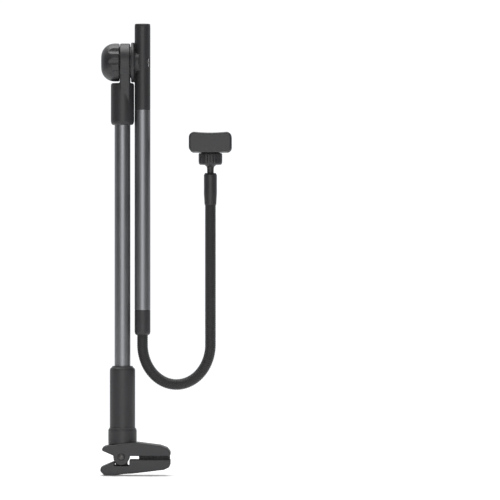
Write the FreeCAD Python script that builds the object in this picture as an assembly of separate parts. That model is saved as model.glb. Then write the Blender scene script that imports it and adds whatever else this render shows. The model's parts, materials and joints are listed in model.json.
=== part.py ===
"""Clip-on folding phone holder: a spring clip carries a swivelling post, a folding upper arm,
a bendable gooseneck and a ball-jointed phone clamp.

Frame: the origin is the middle of the upper jaw pad's gripping face, which lies on the table top.
+Z is up along the post, +X points out of the clip's mouth and +Y to the back. Sizes in mm.
"""

import FreeCAD
import Part
import math
import os

# ---- driving sizes -------------------------------------------------------------------------
TUBE_R = 9.5                    # both arm tubes, 19 mm outside
TUBE_WALL = 1.2
POST_X = -38.0                  # swivel axis of the post
ARM_X = POST_X + 24.0           # axis of the folded upper arm
NECK_SPAN = 81.5                # width of the gooseneck's bend
HEAD_X = ARM_X + NECK_SPAN      # axis of the ball joint and the phone clamp
RUN = 0.06                      # radial clearance of a running fit

CLIP_W = 40.0                   # spring clip, across the jaws
JAW_FACE = 2.25                 # plastic jaw face above the gripping plane = pad thickness
PAD_GAP = 0.3                   # between the two closed pads
PIN_X = POST_X - 1.0
PIN_Z = 1.0
PIN_R = 2.5
CHEEK_OUT_R = 9.6
CHEEK_OUT = (14.0, CLIP_W / 2)  # upper half's cheeks, distance from the middle
CHEEK_IN_R = 7.0
CHEEK_IN = (9.3, 13.5)          # lower half's cheeks, nested inside them
PAD_X0 = POST_X + 20.0
JAW_END = POST_X + 57.7

SEAT_Z = 15.0                   # where the post socket stands on the clip
SOCKET_TOP = 108.2
SOCKET_R = 15.2
FLANGE_R = 17.1
FLANGE_TOP = 35.0
SOCKET_FLOOR = 28.0
BUSH_R = 11.5
LOCK_Z = 51.0                   # height of the swivel lock screw

ELBOW_Z = 473.8                 # fold axis, along X
SLEEVE_R = 14.0
SLEEVE_Z = 398.8
SLEEVE_TOP = 449.0
KNUCKLE_R = 22.8
KNUCKLE_ROUND = 1.4
KNUCKLE_X = (POST_X - 3.0, POST_X + 9.3)
HUB_R = 24.0
HUB_X = (POST_X + 10.3, POST_X + 14.3)
BOLT_R = 4.0
KNOB_R = 22.8
KNOB_FACE = POST_X - 3.6        # knob's inner face
KNOB_END = POST_X - 25.5
KNOB_ROUND = 16.0               # knob's outer edge

BAR_Z = (416.8, 518.0)
BAR_CAP_TOP = 520.2
FERRULE_Z = 146.8               # lower end of the upper arm
TUBE2_Z = (176.8, BAR_Z[0])

NECK_R = 6.5
NECK_TURN_Z = 135.4             # where the gooseneck's bend begins and ends
NECK_DROP = 48.0                # depth of the bend below that
NECK_GAP = 2.0                  # half the gap between two gooseneck links
NECK_BALL = 5.0
BENDS = 4                       # hinges spread round the bend
SWAY_Z = (172.0, 236.0)         # hinges up the straight leg
END_FERRULE_Z = (302.8, 341.2)
END_FERRULE_R = 7.8

BALL_Z = 356.0
BALL_R = 8.5
STEM_R = 4.0
NUT_Z = (351.0, 365.0)
NUT_R = 14.3

BACK_Z = (365.8, 370.8)         # rear cover of the phone clamp
BODY_TOP = 379.0
REST_Z = 380.2                  # where the phone's back lies
JAW_TOP = 390.0
BODY_HALF = 20.5
BODY_Y = (-30.0, 26.6)
JAW_HALF = 25.6
JAW_IN = 27.5                   # inner face of each plastic jaw, from the middle
JAW_OUT = 36.0
PAD_IN = 25.0                   # inner face of each rubber pad

Vec = FreeCAD.Vector
X, Y, Z = Vec(1, 0, 0), Vec(0, 1, 0), Vec(0, 0, 1)
PARTS = "parts"


# ---- shape helpers -------------------------------------------------------------------------
def block(x, y, z):
    """A box from three (low, high) pairs."""
    return Part.makeBox(x[1] - x[0], y[1] - y[0], z[1] - z[0], Vec(x[0], y[0], z[0]))


def rod(radius, start, end):
    """A cylinder between two points."""
    start, end = Vec(*start), Vec(*end)
    return Part.makeCylinder(radius, (end - start).Length, start, end - start)


def turned(profile, at, along=Z):
    """A solid of revolution: (radius, height) pairs turned about the line along from at."""
    points = [Vec(r, 0, h) for r, h in profile]
    face = Part.Face(Part.makePolygon(points + points[:1]))
    solid = face.revolve(Vec(0, 0, 0), Z, 360)
    solid.Placement = FreeCAD.Placement(Vec(*at), FreeCAD.Rotation(Z, along))
    return solid


def slab(points, width):
    """An outline in the XZ plane, x from the post axis, made width thick about y = 0."""
    outline = [Vec(POST_X + x, -width / 2, z) for x, z in points]
    return Part.Face(Part.makePolygon(outline + outline[:1])).extrude(Vec(0, width, 0))


def fused(*shapes):
    whole = shapes[0].multiFuse(list(shapes[1:]))
    return whole.removeSplitter()


def softened(shape, radius, wanted):
    """Fillets the edges whose middle point satisfies wanted."""
    edges = [e for e in shape.Edges if wanted(e.CenterOfMass, e)]
    return shape.makeFillet(radius, edges)


def runs_along_y(edge):
    a, b = edge.Vertexes[0].Point, edge.Vertexes[-1].Point
    return abs(abs(b.y - a.y) - (b - a).Length) < 1e-6 and (b - a).Length > 1e-3


def runs_along_x(edge):
    a, b = edge.Vertexes[0].Point, edge.Vertexes[-1].Point
    return abs(b.x - a.x) > 1e-3


def save(name, *shapes):
    os.makedirs(PARTS, exist_ok=True)
    solids = [s for shape in shapes for s in shape.Solids]
    whole = solids[0] if len(solids) == 1 else Part.makeCompound(solids)
    whole.exportStep(os.path.join(PARTS, name + ".step"))


def screw(head_r, shank_r, head_at, tip, head_h):
    """A pan-head screw: head_at is the outer face of its head, tip the end of its shank."""
    head_at, tip = Vec(*head_at), Vec(*tip)
    axis = (tip - head_at).normalize()
    neck = head_at + axis * head_h
    head = Part.makeCylinder(head_r, head_h, head_at, axis)
    slot = Part.makeCylinder(head_r * 0.42, head_h * 0.55, head_at, axis)
    return fused(head.cut(slot), Part.makeCylinder(shank_r, (tip - neck).Length, neck, axis))


# ---- spring clip ---------------------------------------------------------------------------
LOCK_SCREWS = [(POST_X + sx * 9.0, sy * 11.0) for sx in (-1, 1) for sy in (-1, 1)]
SOCKET_SCREW_R = 1.6
SOCKET_SCREW_HEAD_R = 2.9
POCKET_TOP = 9.0
SPRING_COIL_R = 4.1
SPRING_WIRE_R = 0.9
SPRING_LEG_Y = 6.0
SPRING_TURNS = 7
GROOVE_HALF = 1.3


def jaw_edges(centre, edge):
    """Edges across the clip at the thumb end and at the nose."""
    reach = centre.x - POST_X
    return runs_along_y(edge) and (reach < -20.0 or reach > 53.0) and abs(centre.z) > 3.0


def clip_upper_half():
    plate = slab([(-24.2, 8.6), (-24.2, 11.6), (-21.5, 13.6), (-17.4, 14.7), (-12, 15.2),
                  (6, 18.0), (18, 18.4), (46, 14.8), (54, 11.8), (57.7, 7.0),
                  (57.7, JAW_FACE), (8, JAW_FACE), (-9.5, JAW_FACE)], CLIP_W)
    plate = softened(plate, 2.0, jaw_edges)
    plate = softened(plate, 1.6, lambda c, e: abs(abs(c.y) - CLIP_W / 2) < 1e-3 and c.z > 9.5)
    shape = plate
    for side in (-1, 1):
        y = sorted((side * CHEEK_OUT[0], side * CHEEK_OUT[1]))
        shape = shape.fuse(rod(CHEEK_OUT_R, (PIN_X, y[0], PIN_Z), (PIN_X, y[1], PIN_Z)))
        shape = shape.fuse(block((PIN_X - CHEEK_OUT_R, PIN_X + CHEEK_OUT_R), y, (PIN_Z, 6.0)))
    pocket = CHEEK_OUT[0] - 0.1
    shape = shape.cut(block((POST_X - 9.5, POST_X + 8.0), (-pocket, pocket), (-10, POCKET_TOP)))
    shape = shape.cut(block((POST_X - 21.5, POST_X - 9.0),
                            (SPRING_LEG_Y - GROOVE_HALF, SPRING_LEG_Y + GROOVE_HALF), (-2, 10)))
    shape = shape.cut(rod(FLANGE_R + 0.1, (POST_X, 0, SEAT_Z), (POST_X, 0, SEAT_Z + 20)))
    shape = shape.cut(rod(PIN_R, (PIN_X, -CLIP_W, PIN_Z), (PIN_X, CLIP_W, PIN_Z)))
    for x, y in LOCK_SCREWS:
        shape = shape.cut(rod(SOCKET_SCREW_HEAD_R + 0.3, (x, y, -5), (x, y, POCKET_TOP)))
        shape = shape.cut(rod(SOCKET_SCREW_R, (x, y, 0), (x, y, SEAT_Z + 5)))
    return shape.removeSplitter()


def clip_lower_half():
    face = -JAW_FACE - PAD_GAP
    plate = slab([(-25.8, -11.2), (-26.4, -15.8), (-21.6, -20.8), (-8, -21.2), (-1, -19.6),
                  (14, -18.6), (33, -16.4), (50, -14.4), (56, -11.6), (57.7, -8.6),
                  (57.7, face), (8.6, face), (8.6, -9.5), (-9.6, -9.5), (-9.6, -4.4)], CLIP_W)
    plate = softened(plate, 2.0, jaw_edges)
    plate = softened(plate, 1.6, lambda c, e: abs(abs(c.y) - CLIP_W / 2) < 1e-3 and c.z < -12.0)
    shape = plate
    for side in (-1, 1):
        y = sorted((side * CHEEK_IN[0], side * CHEEK_IN[1]))
        shape = shape.fuse(rod(CHEEK_IN_R, (PIN_X, y[0], PIN_Z), (PIN_X, y[1], PIN_Z)))
        shape = shape.fuse(block((PIN_X - CHEEK_IN_R, PIN_X + CHEEK_IN_R), y, (-11.0, PIN_Z)))
    shape = shape.cut(block((POST_X - 22.0, POST_X - 9.0),
                            (-SPRING_LEG_Y - GROOVE_HALF, -SPRING_LEG_Y + GROOVE_HALF), (-13, 0)))
    shape = shape.cut(rod(PIN_R + RUN, (PIN_X, -CLIP_W, PIN_Z), (PIN_X, CLIP_W, PIN_Z)))
    return shape.removeSplitter()


def jaw_pad(z0, z1, ribs_up):
    """A rubber pad with cross ribs on its gripping face."""
    rib_depth, pitch, groove = 0.7, 4.5, 1.2
    pad = block((PAD_X0, JAW_END - 0.7), (-17.5, 17.5), (z0, z1))
    cut_z = (z1 - rib_depth, z1 + 1) if ribs_up else (z0 - 1, z0 + rib_depth)
    x = PAD_X0 + 3.0
    while x + groove < JAW_END - 2.0:
        pad = pad.cut(block((x, x + groove), (-20, 20), cut_z))
        x += pitch
    return pad


def clip_pin():
    head_r, head_h = 4.2, 1.8
    shaft = rod(PIN_R, (PIN_X, -CLIP_W / 2 - 0.2, PIN_Z), (PIN_X, CLIP_W / 2 + 1.6, PIN_Z))
    head = turned([(0, 0), (head_r, 0), (head_r * 0.86, head_h * 0.7), (head_r * 0.45, head_h),
                   (0, head_h)], (PIN_X, -CLIP_W / 2, PIN_Z), -Y)
    return fused(shaft, head)


def pin_retainer():
    """A push-on ring on the pin's back end."""
    y0 = CLIP_W / 2
    ring = rod(PIN_R + 2.2, (PIN_X, y0, PIN_Z), (PIN_X, y0 + 1.0, PIN_Z))
    return ring.cut(rod(PIN_R, (PIN_X, y0 - 1, PIN_Z), (PIN_X, y0 + 2, PIN_Z)))


def torsion_spring():
    """Close-wound turns about the pin with one leg in each thumb lever."""
    step = 2 * SPRING_LEG_Y / (SPRING_TURNS - 1)
    turns = [Part.makeTorus(SPRING_COIL_R, SPRING_WIRE_R, Vec(PIN_X, -SPRING_LEG_Y + i * step, PIN_Z), Y)
             for i in range(SPRING_TURNS)]
    top, bottom = PIN_Z + SPRING_COIL_R, PIN_Z - SPRING_COIL_R
    up = rod(SPRING_WIRE_R, (PIN_X, SPRING_LEG_Y, top), (POST_X - 20, SPRING_LEG_Y, 8.4))
    down = rod(SPRING_WIRE_R, (PIN_X, -SPRING_LEG_Y, bottom), (POST_X - 21, -SPRING_LEG_Y, -10.9))
    return [fused(turns[0], down), *turns[1:-1], fused(turns[-1], up)]


# ---- post socket and swivel lock -----------------------------------------------------------
BOSS_END = 18.5                 # back face of the lock screw's boss
LOCK_R = 3.0
LOCK_KNOB = (20.0, 32.0)
LOCK_KNOB_R = 11.0


def post_socket():
    bore = BUSH_R
    shape = turned([(0, SEAT_Z), (FLANGE_R - 0.6, SEAT_Z), (FLANGE_R, SEAT_Z + 0.6),
                    (FLANGE_R, FLANGE_TOP - 2.4), (FLANGE_R - 0.7, FLANGE_TOP - 0.6),
                    (SOCKET_R, FLANGE_TOP + 0.6), (SOCKET_R, SOCKET_TOP - 3.2),
                    (SOCKET_R - 0.6, SOCKET_TOP - 1.4), (bore + 1.4, SOCKET_TOP),
                    (bore, SOCKET_TOP), (bore, SOCKET_FLOOR), (0, SOCKET_FLOOR)], (POST_X, 0, 0))
    boss = turned([(0, 0), (7.6, 0), (6.4, BOSS_END - 11.5), (5.8, BOSS_END - 11.0),
                   (0, BOSS_END - 11.0)], (POST_X, 11.0, LOCK_Z), Y)
    shape = shape.fuse(boss).cut(rod(bore, (POST_X, 0, SOCKET_FLOOR), (POST_X, 0, SOCKET_TOP + 1)))
    shape = shape.cut(rod(LOCK_R + 1.6, (POST_X, 8, LOCK_Z), (POST_X, BOSS_END + 1, LOCK_Z)))
    for x, y in LOCK_SCREWS:
        shape = shape.cut(rod(SOCKET_SCREW_R, (x, y, SEAT_Z - 1), (x, y, SEAT_Z + 12)))
    return shape.removeSplitter()


def post_bush():
    """A plastic liner that the post turns in, with a lip over the socket's rim."""
    lip = 1.5
    shape = turned([(TUBE_R + RUN, SOCKET_FLOOR + 3.0), (BUSH_R, SOCKET_FLOOR + 3.0),
                    (BUSH_R, SOCKET_TOP), (BUSH_R + 1.2, SOCKET_TOP),
                    (BUSH_R + 0.7, SOCKET_TOP + lip), (TUBE_R + RUN, SOCKET_TOP + lip)],
                   (POST_X, 0, 0))
    return shape.cut(rod(LOCK_R + 0.1, (POST_X, 5, LOCK_Z), (POST_X, 20, LOCK_Z)))


def lock_insert():
    """A brass thread insert in the socket's boss."""
    sleeve = rod(LOCK_R + 1.6, (POST_X, 12.6, LOCK_Z), (POST_X, BOSS_END, LOCK_Z))
    return sleeve.cut(rod(LOCK_R + RUN, (POST_X, 10, LOCK_Z), (POST_X, 20, LOCK_Z)))


def lock_shoe():
    """A nylon pad between the screw's tip and the post."""
    return rod(LOCK_R - 0.1, (POST_X, TUBE_R + RUN, LOCK_Z), (POST_X, 11.6, LOCK_Z))


def fluted(radius, depth_r, count, at, along, length, turn=0.0):
    """Cylinders that cut finger flutes round a knob's rim."""
    first = Vec(0, 0, 1) if abs(along.z) < 0.5 else Vec(1, 0, 0)
    cutters = []
    for i in range(count):
        spin = FreeCAD.Rotation(along, turn + 360.0 * i / count)
        centre = Vec(*at) + spin.multVec(first) * radius
        cutters.append(Part.makeCylinder(depth_r, length, centre, along))
    return cutters


def swivel_knob():
    y0, y1 = LOCK_KNOB
    body = turned([(0, 0), (5.0, 0), (5.6, 2.2), (LOCK_KNOB_R - 1.2, 3.0), (LOCK_KNOB_R, 4.4),
                   (LOCK_KNOB_R, y1 - y0 - 2.0), (LOCK_KNOB_R - 1.6, y1 - y0 - 0.4),
                   (4.0, y1 - y0), (0, y1 - y0)], (POST_X, y0, LOCK_Z), Y)
    body = body.cut(rod(LOCK_R, (POST_X, y0 - 1, LOCK_Z), (POST_X, y1 - 4, LOCK_Z)))
    for cutter in fluted(LOCK_KNOB_R + 2.2, 3.6, 6, (POST_X, y0 + 2.3, LOCK_Z), Y, 14, 30.0):
        body = body.cut(cutter)
    return body


def swivel_stud():
    return rod(LOCK_R, (POST_X, 11.7, LOCK_Z), (POST_X, LOCK_KNOB[1] - 4, LOCK_Z))


# ---- lower arm and elbow -------------------------------------------------------------------
SLEEVE_SCREW_Z = 414.0
TUBE_TOP = 446.0


def lower_tube():
    shape = turned([(TUBE_R - TUBE_WALL, 30.0), (TUBE_R, 30.0), (TUBE_R, TUBE_TOP),
                    (TUBE_R - TUBE_WALL, TUBE_TOP)], (POST_X, 0, 0))
    return shape.cut(rod(1.5, (POST_X, 5, SLEEVE_SCREW_Z), (POST_X, 12, SLEEVE_SCREW_Z)))


def tube_foot_plug():
    inner = TUBE_R - TUBE_WALL
    return turned([(0, 28.4), (TUBE_R - 0.2, 28.4), (TUBE_R - 0.2, 30.0), (inner, 30.0),
                   (inner, 38.0), (inner - 1.0, 39.0), (0, 39.0)], (POST_X, 0, 0))


def elbow_housing():
    """A sleeve that runs up into a round knuckle on the fold axis."""
    neck_z, neck_y, web_r = 428.0, 12.0, 20.0
    sleeve = turned([(TUBE_R, SLEEVE_Z), (SLEEVE_R - 2.2, SLEEVE_Z), (SLEEVE_R - 0.8, SLEEVE_Z + 1.4),
                     (SLEEVE_R, SLEEVE_Z + 4.2), (SLEEVE_R, SLEEVE_TOP - 1.6), (SLEEVE_R - 1.4, SLEEVE_TOP),
                     (0, SLEEVE_TOP), (0, TUBE_TOP), (TUBE_R, TUBE_TOP)], (POST_X, 0, 0))
    length = math.hypot(ELBOW_Z - neck_z, neck_y)
    tilt = math.acos(web_r / length) + math.atan2(neck_y, ELBOW_Z - neck_z)
    touch_y = web_r * math.sin(tilt)
    touch_z = ELBOW_Z - web_r * math.cos(tilt)
    x0 = KNUCKLE_X[0]
    left, right = Vec(x0, -touch_y, touch_z), Vec(x0, touch_y, touch_z)
    foot_l, foot_r = Vec(x0, -neck_y, neck_z), Vec(x0, neck_y, neck_z)
    outline = Part.Wire([Part.LineSegment(foot_l, left).toShape(),
                         Part.Arc(left, Vec(x0, 0, ELBOW_Z + web_r), right).toShape(),
                         Part.LineSegment(right, foot_r).toShape(),
                         Part.LineSegment(foot_r, foot_l).toShape()])
    web = Part.Face(outline).extrude(Vec(KNUCKLE_X[1] - x0, 0, 0))
    web = softened(web, 1.8, lambda c, e: c.z > neck_z + 4 and abs(c.x - (x0 + KNUCKLE_X[1]) / 2) > 3)
    knuckle = rod(KNUCKLE_R, (x0, 0, ELBOW_Z), (KNUCKLE_X[1], 0, ELBOW_Z))
    knuckle = softened(knuckle, KNUCKLE_ROUND, lambda c, e: not runs_along_x(e))
    shape = fused(sleeve, web, knuckle)
    shape = shape.cut(rod(TUBE_R, (POST_X, 0, SLEEVE_Z - 1), (POST_X, 0, TUBE_TOP)))
    shape = shape.cut(rod(BOLT_R + RUN, (POST_X - 20, 0, ELBOW_Z), (POST_X + 20, 0, ELBOW_Z)))
    shape = shape.cut(rod(1.5, (POST_X, 5, SLEEVE_SCREW_Z), (POST_X, 20, SLEEVE_SCREW_Z)))
    return shape.cut(rod(2.7, (POST_X, 12.4, SLEEVE_SCREW_Z), (POST_X, 20, SLEEVE_SCREW_Z)))


def sleeve_screw(x, y_head, z):
    return screw(2.6, 1.5, (x, y_head, z), (x, 6.8, z), 1.5)


def washer(x0, x1, radius):
    ring = rod(radius, (x0, 0, ELBOW_Z), (x1, 0, ELBOW_Z))
    return ring.cut(rod(BOLT_R + RUN, (x0 - 1, 0, ELBOW_Z), (x1 + 1, 0, ELBOW_Z)))


NUT_THICK = 6.5
NUT_RECESS = 0.05               # below the knob's face
NUT_FLATS = 13.0


def hex_bar(flats, x0, x1):
    corner = flats / math.sqrt(3)
    angles = [math.radians(60 * i) for i in range(7)]
    points = [Vec(x0, corner * math.sin(a), ELBOW_Z + corner * math.cos(a)) for a in angles]
    return Part.Face(Part.makePolygon(points)).extrude(Vec(x1 - x0, 0, 0))


def elbow_knob():
    """A round-ended knob with finger flutes, and a hexagonal seat for the nut in its flat face."""
    flute_r, flute_depth, flutes = 6.6, 1.6, 10
    knob = rod(KNOB_R, (KNOB_END, 0, ELBOW_Z), (KNOB_FACE, 0, ELBOW_Z))
    knob = softened(knob, KNOB_ROUND, lambda c, e: abs(c.x - KNOB_END) < 1e-3)
    knob = softened(knob, 1.0, lambda c, e: abs(c.x - KNOB_FACE) < 1e-3)
    for cutter in fluted(KNOB_R + flute_r - flute_depth, flute_r, flutes, (KNOB_END + 2, 0, ELBOW_Z),
                         X, KNOB_FACE - KNOB_END, 180.0 / flutes):
        knob = knob.cut(cutter)
    knob = knob.cut(hex_bar(NUT_FLATS, KNOB_FACE - NUT_THICK, KNOB_FACE + 1))
    return knob.cut(rod(BOLT_R + 0.2, (POST_X - 18.5, 0, ELBOW_Z), (POST_X, 0, ELBOW_Z)))


def knob_nut():
    nut = hex_bar(NUT_FLATS, KNOB_FACE - NUT_THICK, KNOB_FACE - NUT_RECESS)
    return nut.cut(rod(BOLT_R + RUN, (POST_X - 20, 0, ELBOW_Z), (POST_X, 0, ELBOW_Z)))


# ---- upper arm -----------------------------------------------------------------------------
BOLT_HEAD_X = ARM_X + 4.0


def hinge_bar():
    """The moulded bar that carries the hub of the fold and plugs into the upper tube."""
    inner = TUBE_R - TUBE_WALL
    bar = turned([(0, BAR_Z[0] - 22), (inner - 0.8, BAR_Z[0] - 22), (inner, BAR_Z[0] - 20),
                  (inner, BAR_Z[0]), (TUBE_R, BAR_Z[0]), (TUBE_R, BAR_Z[1]), (0, BAR_Z[1])],
                 (ARM_X, 0, 0))
    hub = turned([(0, 0), (HUB_R - 0.8, 0), (HUB_R, 0.8), (HUB_R, 3.0), (HUB_R - 1.2, 4.0),
                  (13.6, 4.0), (12.5, 5.4), (12.5, 9.7), (0, 9.7)], (HUB_X[0], 0, ELBOW_Z), X)
    shape = fused(bar, hub)
    shape = shape.cut(rod(BOLT_R, (POST_X, 0, ELBOW_Z), (ARM_X + 6, 0, ELBOW_Z)))
    shape = shape.cut(rod(7.2, (BOLT_HEAD_X, 0, ELBOW_Z), (ARM_X + 12, 0, ELBOW_Z)))
    shape = shape.cut(rod(6.5, (ARM_X, 0, 494), (ARM_X, 0, BAR_Z[1] + 1)))
    shape = shape.cut(rod(6.0, (ARM_X, 0, BAR_Z[0] - 23), (ARM_X, 0, 452)))
    return shape.cut(rod(1.5, (ARM_X, 5, BAR_Z[0] - 11), (ARM_X, 12, BAR_Z[0] - 11)))


def bar_end_cap():
    top = BAR_CAP_TOP
    return turned([(0, BAR_Z[1] - 7), (6.0, BAR_Z[1] - 7), (6.5, BAR_Z[1] - 6), (6.5, BAR_Z[1]),
                   (TUBE_R, BAR_Z[1]), (TUBE_R, top - 1.0), (TUBE_R - 1.0, top), (0, top)],
                  (ARM_X, 0, 0))


def elbow_bolt():
    shaft = rod(BOLT_R, (POST_X - 17, 0, ELBOW_Z), (BOLT_HEAD_X, 0, ELBOW_Z))
    head = turned([(0, 0), (7.0, 0), (7.0, 1.6), (5.2, 3.0), (0, 3.2)], (BOLT_HEAD_X, 0, ELBOW_Z), X)
    return fused(shaft, head)


def bolt_cap():
    """Closes the bolt head's recess flush with the bar."""
    plug = rod(7.2, (BOLT_HEAD_X + 3.4, 0, ELBOW_Z), (ARM_X + 12, 0, ELBOW_Z))
    return plug.common(rod(TUBE_R, (ARM_X, 0, ELBOW_Z - 10), (ARM_X, 0, ELBOW_Z + 10)))


def upper_tube():
    shape = turned([(TUBE_R - TUBE_WALL, TUBE2_Z[0]), (TUBE_R, TUBE2_Z[0]), (TUBE_R, TUBE2_Z[1]),
                    (TUBE_R - TUBE_WALL, TUBE2_Z[1])], (ARM_X, 0, 0))
    for z in (TUBE2_Z[0] + 10, TUBE2_Z[1] - 11):
        shape = shape.cut(rod(1.5, (ARM_X, 5, z), (ARM_X, 12, z)))
        shape = shape.cut(rod(2.7, (ARM_X, TUBE_R - 0.6, z), (ARM_X, 12, z)))
    return shape


def root_ferrule():
    """Plugs into the lower end of the upper tube and holds the gooseneck's root."""
    z0, z1 = FERRULE_Z, TUBE2_Z[0]
    inner = TUBE_R - TUBE_WALL
    shape = turned([(NECK_R, z0), (TUBE_R - 1.8, z0), (TUBE_R - 0.5, z0 + 1.4), (TUBE_R, z0 + 4.0),
                    (TUBE_R, z1), (inner, z1), (inner, z1 + 20), (0, z1 + 20), (0, z0 + 20),
                    (NECK_R, z0 + 20)], (ARM_X, 0, 0))
    return shape.cut(rod(1.5, (ARM_X, 5, z1 + 10), (ARM_X, 12, z1 + 10)))


# ---- gooseneck -----------------------------------------------------------------------------
def neck_path(steps=720):
    """Distance, point and heading along the gooseneck: down, round the half ellipse, and up."""
    half = NECK_SPAN / 2
    points = [Vec(ARM_X, 0, FERRULE_Z)]
    for i in range(steps + 1):
        angle = math.pi * i / steps
        x = ARM_X + half - half * math.cos(angle)
        points.append(Vec(x, 0, NECK_TURN_Z - NECK_DROP * math.sin(angle)))
    points.append(Vec(HEAD_X, 0, END_FERRULE_Z[0]))
    distance = [0.0]
    for a, b in zip(points, points[1:]):
        distance.append(distance[-1] + (b - a).Length)
    return distance, points


NECK_S, NECK_P = neck_path()
NECK_LENGTH = NECK_S[-1]
TURN_S = FERRULE_Z - NECK_TURN_Z
TURN_LENGTH = NECK_LENGTH - TURN_S - (END_FERRULE_Z[0] - NECK_TURN_Z)


def neck_at(s):
    """The point on the gooseneck's centreline a distance s from the root ferrule's mouth."""
    if s <= 0:
        return NECK_P[0] + Z * -s
    if s >= NECK_LENGTH:
        return NECK_P[-1] + Z * (s - NECK_LENGTH)
    i = next(k for k in range(1, len(NECK_S)) if NECK_S[k] >= s)
    share = (s - NECK_S[i - 1]) / (NECK_S[i] - NECK_S[i - 1])
    return NECK_P[i - 1] + (NECK_P[i] - NECK_P[i - 1]) * share


def neck_hinges():
    """Distances along the gooseneck where its links meet."""
    bends = [TURN_S + TURN_LENGTH * (i + 0.5) / BENDS for i in range(BENDS)]
    sways = [TURN_S + TURN_LENGTH + z - NECK_TURN_Z for z in SWAY_Z]
    return bends + sways


def neck_run(s0, s1):
    """A round length of gooseneck from s0 to s1, straight or along an arc."""
    a, m, b = neck_at(s0), neck_at((s0 + s1) / 2), neck_at(s1)
    if abs((m - a).cross(b - m).y) < 1e-3 * (b - a).Length:
        return rod(NECK_R, a, b)
    arc = Part.Arc(a, m, b).toShape()
    heading = arc.tangentAt(arc.FirstParameter)
    disc = Part.Face(Part.Wire(Part.Circle(a, heading, NECK_R).toShape()))
    swept = math.degrees(arc.LastParameter - arc.FirstParameter)
    return disc.revolve(arc.Curve.Center, arc.Curve.Axis, swept)


def gooseneck_link(s0, s1, first, last):
    """One link: a cup at its root and a ball at its tip, where it meets its neighbours."""
    start = s0 if first else s0 + NECK_GAP
    end = s1 if last else s1 - NECK_GAP
    turns = [s for s in (TURN_S, TURN_S + TURN_LENGTH) if start + 1 < s < end - 1]
    stations = [start, *turns, end]
    runs = [neck_run(a, b) for a, b in zip(stations, stations[1:])]
    shape = fused(*runs) if turns else runs[0]
    if not last:
        shape = shape.fuse(Part.makeSphere(NECK_BALL, neck_at(s1)))
    if not first:
        shape = shape.cut(Part.makeSphere(NECK_BALL + RUN + 0.05, neck_at(s0)))
    return shape


def end_ferrule():
    z0, z1 = END_FERRULE_Z
    bore = STEM_R + RUN
    return turned([(NECK_R, z0), (NECK_R + 0.5, z0), (END_FERRULE_R, z0 + 13),
                   (END_FERRULE_R, z1 - 2.4), (END_FERRULE_R - 1.4, z1), (bore, z1), (bore, z1 - 14),
                   (0, z1 - 14), (0, z0 + 20), (NECK_R, z0 + 20)], (HEAD_X, 0, 0))


# ---- ball joint ----------------------------------------------------------------------------
SOCKET_LIP = 3.6                # how far the socket reaches below the ball's middle
SOCKET_OUT = 11.3
SWIVEL_FLANGE_R = 13.4


def ball_stud():
    stem_bottom = END_FERRULE_Z[1] - 14
    stem = turned([(0, stem_bottom), (STEM_R, stem_bottom), (STEM_R, 346.0), (STEM_R + 0.6, 349.5),
                   (0, 349.5)], (HEAD_X, 0, 0))
    return fused(stem, Part.makeSphere(BALL_R, Vec(HEAD_X, 0, BALL_Z)))


def ball_socket():
    """A slotted cup round the ball, with a flange that turns in the clamp's rear cover."""
    low = BALL_Z - SOCKET_LIP
    shape = turned([(0, low), (SOCKET_OUT - 2.0, low), (SOCKET_OUT, low + 2.2), (SOCKET_OUT, 368.0),
                    (SWIVEL_FLANGE_R, 368.0), (SWIVEL_FLANGE_R, 370.4), (0, 370.4)], (HEAD_X, 0, 0))
    shape = shape.cut(Part.makeSphere(BALL_R + 0.08, Vec(HEAD_X, 0, BALL_Z)))
    for angle in (0, 90):
        slit = block((-20, 20), (-0.6, 0.6), (low - 1, BALL_Z + 5))
        slit.rotate(Vec(0, 0, 0), Z, 45 + angle)
        slit.translate(Vec(HEAD_X, 0, 0))
        shape = shape.cut(slit)
    return shape


def ball_nut():
    z0, z1 = NUT_Z
    inner = SOCKET_OUT + 0.1
    lip = BALL_Z - SOCKET_LIP - 0.15
    mouth = 8.4
    shape = turned([(mouth, z0), (NUT_R - 1.6, z0), (NUT_R - 0.4, z0 + 1.4), (NUT_R, z0 + 4.0),
                    (NUT_R, z1 - 1.2), (NUT_R - 0.8, z1), (inner, z1), (inner, lip + 2.2),
                    (inner - 2.0, lip), (mouth, lip)], (HEAD_X, 0, 0))
    for cutter in fluted(NUT_R + 0.45, 1.1, 20, (HEAD_X, 0, z0 - 1), Z, z1 - z0 + 2):
        shape = shape.cut(cutter)
    return shape


# ---- phone clamp ---------------------------------------------------------------------------
COVER_SCREWS = [(HEAD_X + sx * 18.1, y) for sx in (-1, 1) for y in (-23.0, 20.0)]
TRACK_HALF = 15.6
TRACK_Z = (371.8, 376.6)
SLIDE_HALF = 10.0
SPRING_X = 13.0
ANCHOR_Y = -24.5
HOOK_Y = 22.6                   # where the springs hook into the slide


def plan(half, y, radius, z):
    """A rounded rectangle in plan, about the clamp's axis, between two heights."""
    box = block((HEAD_X - half, HEAD_X + half), y, z)
    return softened(box, radius, lambda c, e: abs(c.z - (z[0] + z[1]) / 2) < 1e-6)


def holder_back():
    shape = plan(BODY_HALF, BODY_Y, 5.0, BACK_Z)
    shape = softened(shape, 1.6, lambda c, e: abs(c.z - BACK_Z[0]) < 1e-3)
    shape = shape.cut(rod(SOCKET_OUT + RUN, (HEAD_X, 0, 360), (HEAD_X, 0, 375)))
    shape = shape.cut(rod(SWIVEL_FLANGE_R + RUN, (HEAD_X, 0, 368.0 - RUN), (HEAD_X, 0, 375)))
    for x, y in COVER_SCREWS:
        shape = shape.cut(rod(2.0, (x, y, 360), (x, y, BACK_Z[0] + 2.0)))
        shape = shape.cut(rod(1.1, (x, y, 360), (x, y, 375)))
    return shape


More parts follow.
